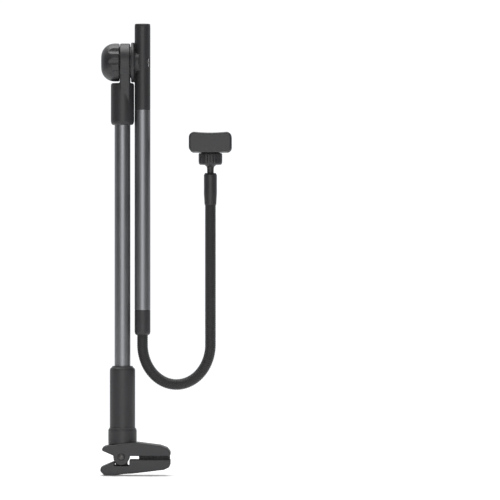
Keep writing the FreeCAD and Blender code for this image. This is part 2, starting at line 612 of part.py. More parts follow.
def jaw_outline(y0, y1):
    """A jaw seen from its end: wide, round-cornered, with a shallow dip along its top."""
    low, top, half = BACK_Z[0] + 0.2, JAW_TOP, JAW_HALF
    foot, crown, dip = 6.0, 6.5, 1.0
    bulge = 1.0 - math.sqrt(0.5)

    def at(x, z):
        return Vec(HEAD_X + x, y0, z)

    def corner(side, r, z):
        return at(side * (half - r * bulge), z)

    low_mid, top_mid = low + foot * bulge, top - crown * bulge
    edges = [Part.LineSegment(at(-half + foot, low), at(half - foot, low)),
             Part.Arc(at(half - foot, low), corner(1, foot, low_mid), at(half, low + foot)),
             Part.LineSegment(at(half, low + foot), at(half, top - crown)),
             Part.Arc(at(half, top - crown), corner(1, crown, top_mid), at(half - crown, top)),
             Part.Arc(at(half - crown, top), at(0, top - dip), at(-half + crown, top)),
             Part.Arc(at(-half + crown, top), corner(-1, crown, top_mid), at(-half, top - crown)),
             Part.LineSegment(at(-half, top - crown), at(-half, low + foot)),
             Part.Arc(at(-half, low + foot), corner(-1, foot, low_mid), at(-half + foot, low))]
    wire = Part.Wire([e.toShape() for e in edges])
    return Part.Face(wire).extrude(Vec(0, y1 - y0, 0))


def jaw(side):
    """One plastic jaw, rounded on its outer face, without its pad."""
    y_in, y_out = side * JAW_IN, side * JAW_OUT
    shape = jaw_outline(*sorted((y_in, y_out)))
    shape = softened(shape, 2.6, lambda c, e: abs(c.y - y_out) < 1e-3)
    return softened(shape, 0.7, lambda c, e: abs(c.y - y_in) < 1e-3)


def holder_body():
    body = plan(BODY_HALF, (-29.0, BODY_Y[1]), 3.0, (BACK_Z[1], BODY_TOP))
    body = softened(body, 1.0, lambda c, e: abs(c.z - BODY_TOP) < 1e-3 and c.y > -25)
    shape = fused(body, jaw(-1))
    shape = shape.cut(block((HEAD_X - BODY_HALF - 0.1, HEAD_X + BODY_HALF + 0.1),
                            (-30.2, -27.0), (BACK_Z[0] - 1, BACK_Z[1])))
    shape = shape.cut(block((HEAD_X - TRACK_HALF, HEAD_X + TRACK_HALF), (-26.0, 30), TRACK_Z))
    shape = shape.cut(rod(SWIVEL_FLANGE_R + 1, (HEAD_X, 0, 360), (HEAD_X, 0, BACK_Z[1] + 0.1)))
    for x, y in COVER_SCREWS:
        shape = shape.cut(rod(1.1, (x, y, 365), (x, y, BODY_TOP - 2.5)))
    for side in (-1, 1):
        x = HEAD_X + side * SPRING_X
        shape = shape.cut(rod(1.0, (x, ANCHOR_Y, TRACK_Z[0] - 0.9), (x, ANCHOR_Y, TRACK_Z[1] + 1)))
    return shape.removeSplitter()


def jaw_slide():
    """The moving jaw with the plate that runs in the body's track."""
    gap = 0.25
    z = (TRACK_Z[0] + gap, TRACK_Z[1] - gap)
    plate = block((HEAD_X - SLIDE_HALF, HEAD_X + SLIDE_HALF), (-20.0, JAW_IN + 1), z)
    bar = block((HEAD_X - TRACK_HALF + gap, HEAD_X + TRACK_HALF - gap), (21.0, JAW_IN + 1), z)
    shape = fused(jaw(1), plate, bar)
    for side in (-1, 1):
        x = HEAD_X + side * SPRING_X
        shape = shape.cut(rod(0.8, (x, HOOK_Y, 365), (x, HOOK_Y, 378)))
        shape = shape.cut(block((x - 0.8, x + 0.8), (20, HOOK_Y), TRACK_Z))
    return shape


def grip_pad(side):
    """A ribbed rubber pad with a small hook that keeps the phone in."""
    def y(v):
        return side * v
    outline = [(JAW_IN, REST_Z - 0.2), (PAD_IN, REST_Z - 0.2), (PAD_IN, JAW_TOP - 3.4),
               (PAD_IN - 1.4, JAW_TOP - 2.2), (PAD_IN - 0.8, JAW_TOP - 1.4), (JAW_IN, JAW_TOP - 1.4)]
    points = [Vec(HEAD_X - 22.0, y(a), z) for a, z in outline]
    pad = Part.Face(Part.makePolygon(points + points[:1])).extrude(Vec(44.0, 0, 0))
    groove_pitch, groove_r = 4.0, 0.5
    for i in range(-5, 6):
        x = HEAD_X + i * groove_pitch
        pad = pad.cut(rod(groove_r, (x, y(PAD_IN), REST_Z - 1), (x, y(PAD_IN), JAW_TOP - 4.2)))
    return pad


def rest_pad():
    """A thin rubber sheet under the phone, with raised bars."""
    pad = plan(15.0, (-21.0, 20.0), 3.0, (BODY_TOP, REST_Z))
    for i in range(-3, 4):
        y = -0.5 + i * 5.4
        pad = pad.cut(block((HEAD_X - 12.0, HEAD_X + 12.0), (y - 0.6, y + 0.6), (REST_Z - 0.5, REST_Z + 1)))
    return pad


def anchor_pins():
    return [rod(1.0, (HEAD_X + side * SPRING_X, ANCHOR_Y, TRACK_Z[0] - 0.9),
                (HEAD_X + side * SPRING_X, ANCHOR_Y, TRACK_Z[1] + 1)) for side in (-1, 1)]


def clamp_spring(side):
    """A tension spring beside the slide: a closed coil with an eye on the pin and a hook."""
    x, z = HEAD_X + side * SPRING_X, (TRACK_Z[0] + TRACK_Z[1]) / 2
    coil = rod(2.0, (x, -21.2, z), (x, 19.0, z)).cut(rod(1.3, (x, -22, z), (x, 20, z)))
    eye = rod(1.45, (x, ANCHOR_Y, z - 0.35), (x, ANCHOR_Y, z + 0.35))
    eye = eye.cut(rod(1.05, (x, ANCHOR_Y, z - 1), (x, ANCHOR_Y, z + 1)))
    link = block((x - 0.35, x + 0.35), (ANCHOR_Y + 1.3, -21.0), (z - 0.35, z + 0.35))
    near = block((x - 0.35, x + 0.35), (-21.1, -21.0), (z - 0.35, z + 1.6))
    far = block((x - 0.35, x + 0.35), (18.8, 19.2), (z - 0.35, z + 1.6))
    arm = block((x - 0.35, x + 0.35), (19.0, HOOK_Y + 0.3), (z - 0.35, z + 0.35))
    tip = rod(0.4, (x, HOOK_Y, z - 1.6), (x, HOOK_Y, z + 0.3))
    return [fused(coil, eye, link, near, far, arm, tip)]


def main():
    upper_pad = (0.0, JAW_FACE)
    lower_pad = (-JAW_FACE - PAD_GAP, -PAD_GAP)
    save("clip_upper_half", clip_upper_half())
    save("clip_lower_half", clip_lower_half())
    save("upper_jaw_pad", jaw_pad(*upper_pad, ribs_up=False))
    save("lower_jaw_pad", jaw_pad(*lower_pad, ribs_up=True))
    save("clip_pin", clip_pin())
    save("pin_retainer", pin_retainer())
    save("torsion_spring", *torsion_spring())
    save("post_socket", post_socket())
    save("socket_screws", *[screw(SOCKET_SCREW_HEAD_R, SOCKET_SCREW_R, (x, y, POCKET_TOP - 2.2),
                                  (x, y, SEAT_Z + 11.5), 2.2) for x, y in LOCK_SCREWS])
    save("post_bush", post_bush())
    save("lock_insert", lock_insert())
    save("lock_shoe", lock_shoe())
    save("swivel_knob", swivel_knob())
    save("swivel_stud", swivel_stud())
    save("lower_tube", lower_tube())
    save("tube_foot_plug", tube_foot_plug())
    save("elbow_housing", elbow_housing())
    save("housing_screw", sleeve_screw(POST_X, 13.9, SLEEVE_SCREW_Z))
    save("friction_washer", washer(KNUCKLE_X[1], HUB_X[0], 18.5))
    save("knob_washer", washer(KNOB_FACE, KNUCKLE_X[0], 11.0))
    save("elbow_knob", elbow_knob())
    save("knob_nut", knob_nut())
    save("hinge_bar", hinge_bar())
    save("bar_end_cap", bar_end_cap())
    save("elbow_bolt", elbow_bolt())
    save("bolt_cap", bolt_cap())
    save("upper_tube", upper_tube())
    save("tube_screws", *[sleeve_screw(ARM_X, TUBE_R + 0.9, z) for z in (TUBE2_Z[0] + 10, TUBE2_Z[1] - 11)])
    save("root_ferrule", root_ferrule())
    hinges = neck_hinges()
    stations = [-18.0, *hinges, NECK_LENGTH + 19.0]
    for i, (s0, s1) in enumerate(zip(stations, stations[1:])):
        link = gooseneck_link(s0, s1, i == 0, i == len(hinges))
        save(f"gooseneck_link_{i + 1:02d}", link)
    save("end_ferrule", end_ferrule())
    save("ball_stud", ball_stud())
    save("ball_socket", ball_socket())
    save("ball_nut", ball_nut())
    save("holder_back", holder_back())
    save("cover_screws", *[screw(1.9, 1.1, (x, y, BACK_Z[0] + 0.3), (x, y, BODY_TOP - 3), 1.6)
                           for x, y in COVER_SCREWS])
    save("holder_body", holder_body())
    save("jaw_slide", jaw_slide())
    save("fixed_jaw_pad", grip_pad(-1))
    save("moving_jaw_pad", grip_pad(1))
    save("rest_pad", rest_pad())
    save("anchor_pins", *anchor_pins())
    save("clamp_spring_left", *clamp_spring(-1))
    save("clamp_spring_right", *clamp_spring(1))


main()
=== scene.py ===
"""A clip-on folding phone holder: moulded shells, tubes, sleeve, springs, screws and stage."""

import json
import math

import bmesh
import bpy
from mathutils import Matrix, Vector

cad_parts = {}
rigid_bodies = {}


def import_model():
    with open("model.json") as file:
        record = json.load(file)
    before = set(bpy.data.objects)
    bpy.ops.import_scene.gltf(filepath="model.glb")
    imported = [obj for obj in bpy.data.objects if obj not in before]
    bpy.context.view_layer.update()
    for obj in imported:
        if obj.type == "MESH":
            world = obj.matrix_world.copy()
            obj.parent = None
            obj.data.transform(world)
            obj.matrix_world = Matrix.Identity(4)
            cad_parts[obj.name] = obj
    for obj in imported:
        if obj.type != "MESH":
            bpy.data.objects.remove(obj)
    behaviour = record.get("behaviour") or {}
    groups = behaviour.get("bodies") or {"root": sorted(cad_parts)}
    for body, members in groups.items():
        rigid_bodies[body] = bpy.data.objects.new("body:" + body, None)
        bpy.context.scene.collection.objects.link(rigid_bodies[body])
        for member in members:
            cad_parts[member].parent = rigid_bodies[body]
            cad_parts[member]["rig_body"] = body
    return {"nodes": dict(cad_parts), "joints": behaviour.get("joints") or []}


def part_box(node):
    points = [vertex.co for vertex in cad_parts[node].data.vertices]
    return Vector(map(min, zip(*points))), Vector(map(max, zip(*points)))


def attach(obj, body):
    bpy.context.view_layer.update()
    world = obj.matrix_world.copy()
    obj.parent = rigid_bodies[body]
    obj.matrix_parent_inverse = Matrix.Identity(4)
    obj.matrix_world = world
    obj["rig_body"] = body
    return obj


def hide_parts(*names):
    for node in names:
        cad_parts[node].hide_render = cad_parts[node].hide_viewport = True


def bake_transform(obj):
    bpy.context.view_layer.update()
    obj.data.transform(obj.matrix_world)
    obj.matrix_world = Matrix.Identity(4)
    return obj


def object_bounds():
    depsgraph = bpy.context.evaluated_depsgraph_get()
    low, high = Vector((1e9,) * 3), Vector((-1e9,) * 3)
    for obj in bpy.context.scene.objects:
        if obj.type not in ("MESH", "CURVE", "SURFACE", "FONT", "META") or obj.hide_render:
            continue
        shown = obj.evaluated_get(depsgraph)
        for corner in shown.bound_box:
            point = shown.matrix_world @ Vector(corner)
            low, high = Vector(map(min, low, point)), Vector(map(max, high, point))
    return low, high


bl_info = {
    "name": "Folding Phone Holder Arm",
    "version": (1, 0, 0),
    "blender": (4, 5, 0),
    "location": "3D View > Sidebar > Phone Arm",
    "description": "Shells, sleeve, springs and finishes of a clip-on folding phone holder",
    "category": "Object",
}

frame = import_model()
CAD_NODES = frame["nodes"]
CAD_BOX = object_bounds()
JOINTS = {joint["name"]: joint for joint in frame["joints"]}
MM = 0.001
MERGE = 1e-6                    # metres within which two corners are one

# Mouldings whose edges are rounded: CAD node and the skin's voxel, in millimetres.
SHELLS = {
    "clip": {"clip_upper_half": 0.55, "clip_lower_half": 0.55},
    "swivel": {"post_socket": 0.65, "swivel_knob": 0.4},
    "elbow": {"elbow_housing": 0.6, "elbow_knob": 0.5, "hinge_bar": 0.6, "bar_end_cap": 0.4},
    "neck": {"root_ferrule": 0.5, "end_ferrule": 0.4},
    "head": {"ball_socket": 0.4, "ball_nut": 0.4},
    "holder": {"holder_back": 0.5, "holder_body": 0.55, "jaw_slide": 0.55},
}
PADS = {"upper_jaw_pad": 0.35, "lower_jaw_pad": 0.35, "fixed_jaw_pad": 0.4,
        "moving_jaw_pad": 0.4, "rest_pad": 0.45}
# Screws: CAD node and the height of its heads, in millimetres.
SCREWS = {"socket_screws": 1.6, "housing_screw": 1.5, "tube_screws": 1.2, "cover_screws": 1.4}
# Mouldings with the knobs' shinier finish, and hardware that is blackened instead of plated.
KNOBS = ("swivel_knob", "elbow_knob", "ball_nut")
BLACKENED = ("clip_pin", "pin_retainer", "cover_screws", "tube_screws", "housing_screw")

PLASTIC_DUST = (0.16, 0.155, 0.145, 1.0)
RUBBER_DUST = (0.14, 0.135, 0.13, 1.0)
ZINC_STAIN = (0.36, 0.35, 0.31, 1.0)
SPRING_STAIN = (0.07, 0.06, 0.05, 1.0)
BLACK_STAIN = (0.03, 0.027, 0.025, 1.0)
BRASS_STAIN = (0.36, 0.22, 0.08, 1.0)
PAPER = ((0.88, 0.88, 0.88, 1), (0.92, 0.92, 0.92, 1))
AIR = (0.97, 0.98, 1.0, 1.0)

VIEW_WIDTH = 0.6                # metres that the camera's frame spans at the arm
VIEW_PLACE = (0.115, -6.0, 0.2488)
FLOOR_RADIUS = 1.1
# Softboxes: place and aim, with x from the arm's middle, then width, height and watts.
SOFTBOXES = {
    "front_softbox": ((-0.03, -2.4, 0.35), (-0.03, 0.0, 0.25), 1.7, 2.4, 29.0),
    "top_softbox": ((0.0, 0.2, 2.3), (0.0, 0.0, 0.0), 2.4, 2.0, 60.0),
}

FLOAT, WHOLE, SHAPE, FINISH = ("NodeSocketFloat", "NodeSocketInt", "NodeSocketGeometry",
                               "NodeSocketMaterial")


# ---- settings ----
def length(label, about, default, low, high):
    """A length setting, given in millimetres."""
    return bpy.props.FloatProperty(name=label, description=about, default=default * MM,
                                   min=low * MM, max=high * MM, precision=5, unit="LENGTH")


def colour(label, about, red, green, blue):
    """An opaque colour setting."""
    return bpy.props.FloatVectorProperty(name=label, description=about, subtype="COLOR", size=4,
                                         default=(red, green, blue, 1.0), min=0.0, max=1.0)


class PhoneArmSizes(bpy.types.PropertyGroup):
    """Sizes of the details that are laid over the frame."""

    edge_rounding: bpy.props.IntProperty(
        name="Edge rounding", description="Smoothing passes over each moulded skin",
        default=5, min=1, max=20)
    rib_pitch: length(
        "Rib pitch", "Distance between two ribs of the gooseneck's sleeve", 2.4, 1.0, 8.0)
    rib_depth: length("Rib depth", "How far the grooves cut into the sleeve", 0.4, 0.0, 2.0)
    neck_bend_reach: length(
        "Bend reach", "Length of sleeve on each side of a bend that curves with it",
        13.0, 2.0, 20.0)
    ridge_radius: length(
        "Ridge radius", "Radius of the thumb ridges on the clip's levers", 0.55, 0.1, 2.0)
    ridge_count: bpy.props.IntProperty(
        name="Ridges", description="Thumb ridges on each lever of the clip",
        default=5, min=0, max=12)


class PhoneArmColours(bpy.types.PropertyGroup):
    """Colours of the holder's finishes."""

    plastic: colour("Moulded plastic", "Shells of the clip, joints and phone clamp",
                    0.027, 0.027, 0.029)
    anodised: colour("Anodised tube", "The two arm tubes", 0.235, 0.238, 0.248)
    sleeve: colour("Neck sleeve", "Ribbed sleeve of the gooseneck", 0.020, 0.020, 0.021)
    grip: colour("Grip rubber", "Pads of the clip and of the phone clamp", 0.018, 0.018, 0.019)
    zinc: colour("Plated steel", "Pin, bolt, nut and screws", 0.50, 0.50, 0.49)
    spring: colour("Spring wire", "Oiled spring steel", 0.16, 0.155, 0.15)
    blackened: colour("Blackened steel", "Hinge pin and the outer screws", 0.085, 0.083, 0.082)
    brass: colour("Brass", "Threaded insert", 0.62, 0.43, 0.16)
    nylon: colour("Nylon", "Washers, shoe and plugs", 0.045, 0.045, 0.047)


# ---- node helpers ----
def put(tree, kind, sockets=None, **settings):
    """Adds a node with its settings, and gives its sockets a value or a link."""
    added = tree.nodes.new(kind)
    for name, value in settings.items():
        setattr(added, name, value)
    for name, value in (sockets or {}).items():
        if isinstance(value, bpy.types.NodeSocket):
            tree.links.new(value, added.inputs[name])
        else:
            added.inputs[name].default_value = value
    return added


def maths(tree, operation, first, second=0.0, clamp=False):
    """One Math node's result."""
    return put(tree, "ShaderNodeMath", {0: first, 1: second},
               operation=operation, use_clamp=clamp).outputs[0]


def times(tree, first, second, clamp=False):
    """A product."""
    return maths(tree, "MULTIPLY", first, second, clamp)


def plus(tree, first, second, clamp=False):
    """A sum."""
    return maths(tree, "ADD", first, second, clamp)


def minus(tree, first, second):
    """A difference."""
    return maths(tree, "SUBTRACT", first, second)


def blended(tree, share, first, second):
    """Two colours mixed by a mask."""
    mixer = put(tree, "ShaderNodeMix", {0: share, 6: first, 7: second}, data_type="RGBA")
    return mixer.outputs[2]


def spread(tree, value, low, high, to_low=0.0, to_high=1.0):
    """A value mapped from one range to another, held at both ends."""
    mapped = put(tree, "ShaderNodeMapRange", {"Value": value, "From Min": low, "From Max": high,
                                              "To Min": to_low, "To Max": to_high})
    return mapped.outputs["Result"]


def open_group(name, kind, wanted, given):
    """A new node group with its sockets. Returns the tree, its input node and its output node."""
    tree = bpy.data.node_groups.new(name, kind)
    for label, socket_type, default in wanted:
        socket = tree.interface.new_socket(label, in_out="INPUT", socket_type=socket_type)
        if default is not None:
            socket.default_value = default
    for label, socket_type in given:
        tree.interface.new_socket(label, in_out="OUTPUT", socket_type=socket_type)
    return tree, tree.nodes.new("NodeGroupInput"), tree.nodes.new("NodeGroupOutput")


# ---- shared surface effects ----
def mould_grain_group():
    """Spark-eroded mould texture: a fine height and a broad shade."""
    tree, given, out = open_group(
        "Mould Grain", "ShaderNodeTree",
        [("Grain Scale", FLOAT, 2200.0), ("Cloud Scale", FLOAT, 45.0),
         ("Cloud Contrast", FLOAT, 0.3)],
        [("Height", FLOAT), ("Shade", FLOAT)])
    place = put(tree, "ShaderNodeTexCoord").outputs["Object"]
    fine = put(tree, "ShaderNodeTexNoise", {"Vector": place, "Scale": given.outputs["Grain Scale"],
                                            "Detail": 3.0, "Roughness": 0.6})
    pits = put(tree, "ShaderNodeTexVoronoi", {"Vector": place,
                                              "Scale": given.outputs["Grain Scale"]})
    cloud = put(tree, "ShaderNodeTexNoise", {"Vector": place, "Scale": given.outputs["Cloud Scale"],
                                             "Detail": 4.0, "Roughness": 0.55})
    height = plus(tree, times(tree, fine.outputs["Fac"], 0.6),
                   times(tree, pits.outputs["Distance"], 0.4))
    swing = times(tree, minus(tree, cloud.outputs["Fac"], 0.5),
                  given.outputs["Cloud Contrast"])
    tree.links.new(height, out.inputs["Height"])
    tree.links.new(plus(tree, swing, 0.5, True), out.inputs["Shade"])
    return tree


def drawn_grain_group():
    """Die lines that run along the vertical tubes, and a slow change of tone along them."""
    tree, given, out = open_group(
        "Drawn Grain", "ShaderNodeTree",
        [("Line Scale", FLOAT, 900.0), ("Stretch", FLOAT, 0.012)],
        [("Height", FLOAT), ("Shade", FLOAT)])
    place = put(tree, "ShaderNodeTexCoord").outputs["Object"]
    axes = put(tree, "ShaderNodeSeparateXYZ", {0: place})
    along = times(tree, axes.outputs["Z"], given.outputs["Stretch"])
    drawn = put(tree, "ShaderNodeCombineXYZ", {"X": axes.outputs["X"], "Y": axes.outputs["Y"],
                                               "Z": along})
    lines = put(tree, "ShaderNodeTexNoise", {"Vector": drawn.outputs[0], "Detail": 4.0,
                                             "Scale": given.outputs["Line Scale"],
                                             "Roughness": 0.65})
    cloud = put(tree, "ShaderNodeTexNoise", {"Vector": place, "Scale": 28.0, "Detail": 3.0})
    tree.links.new(lines.outputs["Fac"], out.inputs["Height"])
    shade = plus(tree, times(tree, lines.outputs["Fac"], 0.65),
                  times(tree, cloud.outputs["Fac"], 0.35))
    tree.links.new(shade, out.inputs["Shade"])
    return tree


def edge_wear_group():
    """A mask of rubbed edges, broken up so that the wear isn't even."""
    tree, given, out = open_group(
        "Edge Wear", "ShaderNodeTree",
        [("Amount", FLOAT, 0.5), ("Start", FLOAT, 0.53),
         ("Full", FLOAT, 0.62), ("Break-up Scale", FLOAT, 260.0)],
        [("Mask", FLOAT)])
    place = put(tree, "ShaderNodeTexCoord").outputs["Object"]
    crest = spread(tree, put(tree, "ShaderNodeNewGeometry").outputs["Pointiness"],
                   given.outputs["Start"], given.outputs["Full"])
    broken = put(tree, "ShaderNodeTexNoise", {"Vector": place, "Detail": 5.0, "Roughness": 0.65,
                                              "Scale": given.outputs["Break-up Scale"]})
    patchy = spread(tree, broken.outputs["Fac"], 0.35, 0.65, 0.25, 1.0)
    worn = times(tree, crest, patchy)
    tree.links.new(times(tree, worn, given.outputs["Amount"], True),
                   out.inputs["Mask"])
    return tree


def settled_dust_group():
    """Fine dust that lies on faces that look up."""
    tree, given, out = open_group(
        "Settled Dust", "ShaderNodeTree",
        [("Amount", FLOAT, 0.2), ("Speck Scale", FLOAT, 700.0)],
        [("Mask", FLOAT)])
    place = put(tree, "ShaderNodeTexCoord")
    up = put(tree, "ShaderNodeSeparateXYZ", {0: place.outputs["Normal"]}).outputs["Z"]
    facing = spread(tree, up, 0.35, 0.95)
    specks = put(tree, "ShaderNodeTexNoise", {"Vector": place.outputs["Object"], "Detail": 6.0,
                                              "Scale": given.outputs["Speck Scale"],
                                              "Roughness": 0.75})
    film = put(tree, "ShaderNodeTexNoise", {"Vector": place.outputs["Object"], "Scale": 60.0,
                                            "Detail": 3.0})
    lying = times(tree, spread(tree, specks.outputs["Fac"], 0.42, 0.7),
                  spread(tree, film.outputs["Fac"], 0.3, 0.7, 0.3, 1.0))
    seen = times(tree, facing, lying)
    tree.links.new(times(tree, seen, given.outputs["Amount"], True),
                   out.inputs["Mask"])
    return tree


def parting_line_group():
    """The thin witness line that the two mould halves leave round a shell, in the plane Y = 0."""
    tree, given, out = open_group(
        "Parting Line", "ShaderNodeTree",
        [("Width", FLOAT, 0.22 * MM)],
        [("Height", FLOAT)])
    place = put(tree, "ShaderNodeTexCoord").outputs["Object"]
    across = put(tree, "ShaderNodeSeparateXYZ", {0: place}).outputs["Y"]
    ratio = maths(tree, "DIVIDE", maths(tree, "ABSOLUTE", across), given.outputs["Width"])
    tree.links.new(spread(tree, ratio, 0.5, 1.0, 1.0, 0.0), out.inputs["Height"])
    return tree


def shared_group(name):
    """A shared effect's or piece's node group, built once."""
    return bpy.data.node_groups.get(name) or GROUP_BUILDERS[name]()


def effect(tree, name, sockets):
    """A shared effect placed in a material with its own values."""
    added = put(tree, "ShaderNodeGroup", node_tree=shared_group(name))
    for label, value in sockets.items():
        added.inputs[label].default_value = value
    return added.outputs


# ---- finishes ----
def open_material(name, constants):
    """A new material with one Principled shader, whose constants sit on its own sockets."""
    material = bpy.data.materials.new(name)
    material.use_nodes = True
    tree = material.node_tree
    tree.nodes.clear()
    shader = put(tree, "ShaderNodeBsdfPrincipled", constants)
    put(tree, "ShaderNodeOutputMaterial", {"Surface": shader.outputs["BSDF"]})
    return material, tree, shader


def raised(tree, shader, height, strength, distance):
    """Feeds a height to the shader's normal."""
    bump = put(tree, "ShaderNodeBump", {"Height": height, "Strength": strength,
                                        "Distance": distance})
    tree.links.new(bump.outputs["Normal"], shader.inputs["Normal"])


def tinted(colour, factor):
    """A colour made lighter or darker."""
    return tuple(min(1.0, channel * factor) for channel in colour[:3]) + (1.0,)


def moulded_plastic(name, colour, roughness, grain_scale, seam):
    """Fine-textured black moulding with a parting line, rubbed edges and a little dust."""
    material, tree, shader = open_material(name, {"Metallic": 0.0, "IOR": 1.5,
                                                  "Specular IOR Level": 0.42})
    grain = effect(tree, "Mould Grain", {"Grain Scale": grain_scale, "Cloud Scale": 38.0,
                                         "Cloud Contrast": 0.9})
    wear = effect(tree, "Edge Wear", {"Amount": 0.35, "Start": 0.54, "Full": 0.66})
    dust = effect(tree, "Settled Dust", {"Amount": 0.22})
    base = blended(tree, grain["Shade"], tinted(colour, 0.82), tinted(colour, 1.2))
    rubbed = blended(tree, wear["Mask"], base, tinted(colour, 2.6))
    dusty = blended(tree, dust["Mask"], rubbed, PLASTIC_DUST)
    tree.links.new(dusty, shader.inputs["Base Color"])
    matt = spread(tree, grain["Shade"], 0.0, 1.0, roughness - 0.05, roughness + 0.06)
    shiny = minus(tree, matt, times(tree, wear["Mask"], 0.12))
    rough = plus(tree, shiny, times(tree, dust["Mask"], 0.3), True)
    tree.links.new(rough, shader.inputs["Roughness"])
    height = grain["Height"]
    if seam:
        line = effect(tree, "Parting Line", {"Width": 0.25 * MM})
        height = plus(tree, height, times(tree, line["Height"], 1.6))
    raised(tree, shader, height, 0.6, 0.07 * MM)
    return material


def anodised_tube(name, colour):
    """Bead-dulled and anodised aluminium with faint die lines along it."""
    material, tree, shader = open_material(name, {"Metallic": 1.0, "IOR": 1.5,
                                                  "Anisotropic": 0.25})
    lines = effect(tree, "Drawn Grain", {"Line Scale": 850.0, "Stretch": 0.01})
    grain = effect(tree, "Mould Grain", {"Grain Scale": 3200.0, "Cloud Scale": 22.0,
                                         "Cloud Contrast": 0.6})
    base = blended(tree, lines["Shade"], tinted(colour, 0.86), tinted(colour, 1.16))
    tree.links.new(base, shader.inputs["Base Color"])
    streaked = spread(tree, lines["Shade"], 0.25, 0.75, 0.36, 0.47)
    clouded = times(tree, minus(tree, grain["Shade"], 0.5), 0.12)
    tree.links.new(plus(tree, streaked, clouded, True), shader.inputs["Roughness"])
    height = plus(tree, times(tree, lines["Height"], 0.7),
                   times(tree, grain["Height"], 0.3))
    raised(tree, shader, height, 0.18, 0.03 * MM)
    return material


def soft_rubber(name, colour, roughness, grain_scale, bump_depth):
    """Matt rubber with a fine skin, a bloom in places and dust on top."""
    material, tree, shader = open_material(name, {"Metallic": 0.0, "IOR": 1.5,
                                                  "Specular IOR Level": 0.3,
                                                  "Sheen Weight": 0.12, "Sheen Roughness": 0.5})
    grain = effect(tree, "Mould Grain", {"Grain Scale": grain_scale, "Cloud Scale": 70.0,
                                         "Cloud Contrast": 1.0})
    wear = effect(tree, "Edge Wear", {"Amount": 0.5, "Start": 0.52, "Full": 0.64,
                                      "Break-up Scale": 400.0})
    dust = effect(tree, "Settled Dust", {"Amount": 0.3, "Speck Scale": 900.0})
    base = blended(tree, grain["Shade"], tinted(colour, 0.75), tinted(colour, 1.25))
    bloom = blended(tree, wear["Mask"], base, tinted(colour, 1.9))
    dusty = blended(tree, dust["Mask"], bloom, RUBBER_DUST)
    tree.links.new(dusty, shader.inputs["Base Color"])
    rough = spread(tree, grain["Shade"], 0.0, 1.0, roughness - 0.07, roughness + 0.07)
    tree.links.new(rough, shader.inputs["Roughness"])
    raised(tree, shader, grain["Height"], 0.5, bump_depth)
    return material


def plated_metal(name, colour, roughness, stain, stain_share):
    """Turned or drawn metal with tool marks, stains and brighter rubbed edges."""
    material, tree, shader = open_material(name, {"Metallic": 1.0, "IOR": 1.5})
    grain = effect(tree, "Mould Grain", {"Grain Scale": 1500.0, "Cloud Scale": 320.0,
                                         "Cloud Contrast": 1.4})
    wear = effect(tree, "Edge Wear", {"Amount": 0.7, "Start": 0.53, "Full": 0.6})
    stained = times(tree, grain["Shade"], stain_share, True)
    base = blended(tree, stained, colour, stain)
    tree.links.new(blended(tree, wear["Mask"], base, tinted(colour, 1.35)),
                   shader.inputs["Base Color"])
    rough = spread(tree, grain["Shade"], 0.2, 0.8, roughness - 0.06, roughness + 0.1)
    tree.links.new(rough, shader.inputs["Roughness"])
    raised(tree, shader, grain["Height"], 0.25, 0.03 * MM)
    return material


FINISH_BUILDERS = {
    "black_plastic": lambda name, c: moulded_plastic(name, c.plastic, 0.44, 2300.0, True),
    "knob_plastic": lambda name, c: moulded_plastic(name, c.plastic, 0.38, 2600.0, False),
    "nylon": lambda name, c: moulded_plastic(name, c.nylon, 0.34, 3000.0, False),
    "tube_metal": lambda name, c: anodised_tube(name, c.anodised),
    "gooseneck_sleeve": lambda name, c: soft_rubber(name, c.sleeve, 0.56, 2600.0, 0.05 * MM),
    "grip_rubber": lambda name, c: soft_rubber(name, c.grip, 0.72, 1500.0, 0.09 * MM),
    "steel": lambda name, c: plated_metal(name, c.zinc, 0.3, ZINC_STAIN, 0.5),
    "spring_wire": lambda name, c: plated_metal(name, c.spring, 0.34, SPRING_STAIN, 0.6),
    "blackened": lambda name, c: plated_metal(name, c.blackened, 0.4, BLACK_STAIN, 0.5),
    "brass": lambda name, c: plated_metal(name, c.brass, 0.32, BRASS_STAIN, 0.5),
}


def finishes():
    """The materials by their keys, built once."""
    made = {key: bpy.data.materials.get("finish_" + key) for key in FINISH_BUILDERS}
    colours = bpy.context.scene.phone_arm_colours
    for key, build in FINISH_BUILDERS.items():
        if made[key] is None:
            made[key] = build("finish_" + key, colours)
    return made


def slot_of(node_name):
    """The record's material slot of a CAD node."""
    return CAD_NODES[node_name].material_slots[0].material.name


def finish_of(node_name):
    """The finish that a CAD node's surface takes."""
    return finishes()["blackened" if node_name in BLACKENED else slot_of(node_name)]


# ---- piece helpers ----
def new_piece(name, mesh):
    """A mesh object at the origin, linked to the scene."""
    piece = bpy.data.objects.new(name, mesh)
    bpy.context.scene.collection.objects.link(piece)
    return piece


def settle_modifiers(piece):
    """Turns a piece and its modifiers into a plain mesh."""
    depsgraph = bpy.context.evaluated_depsgraph_get()
    evaluated = piece.evaluated_get(depsgraph)
    mesh = bpy.data.meshes.new_from_object(evaluated, depsgraph=depsgraph)
    piece.modifiers.clear()
    mesh.name = piece.name
    piece.data = mesh
    return piece


def merged_copy(node_name, piece_name):
    """A copy of a CAD node's mesh with its loose triangles joined."""
    bm = bmesh.new()
    bm.from_mesh(CAD_NODES[node_name].data)
    bmesh.ops.remove_doubles(bm, verts=bm.verts, dist=MERGE)
    mesh = bpy.data.meshes.new(piece_name)
    bm.to_mesh(mesh)
    bm.free()
    return new_piece(piece_name, mesh)


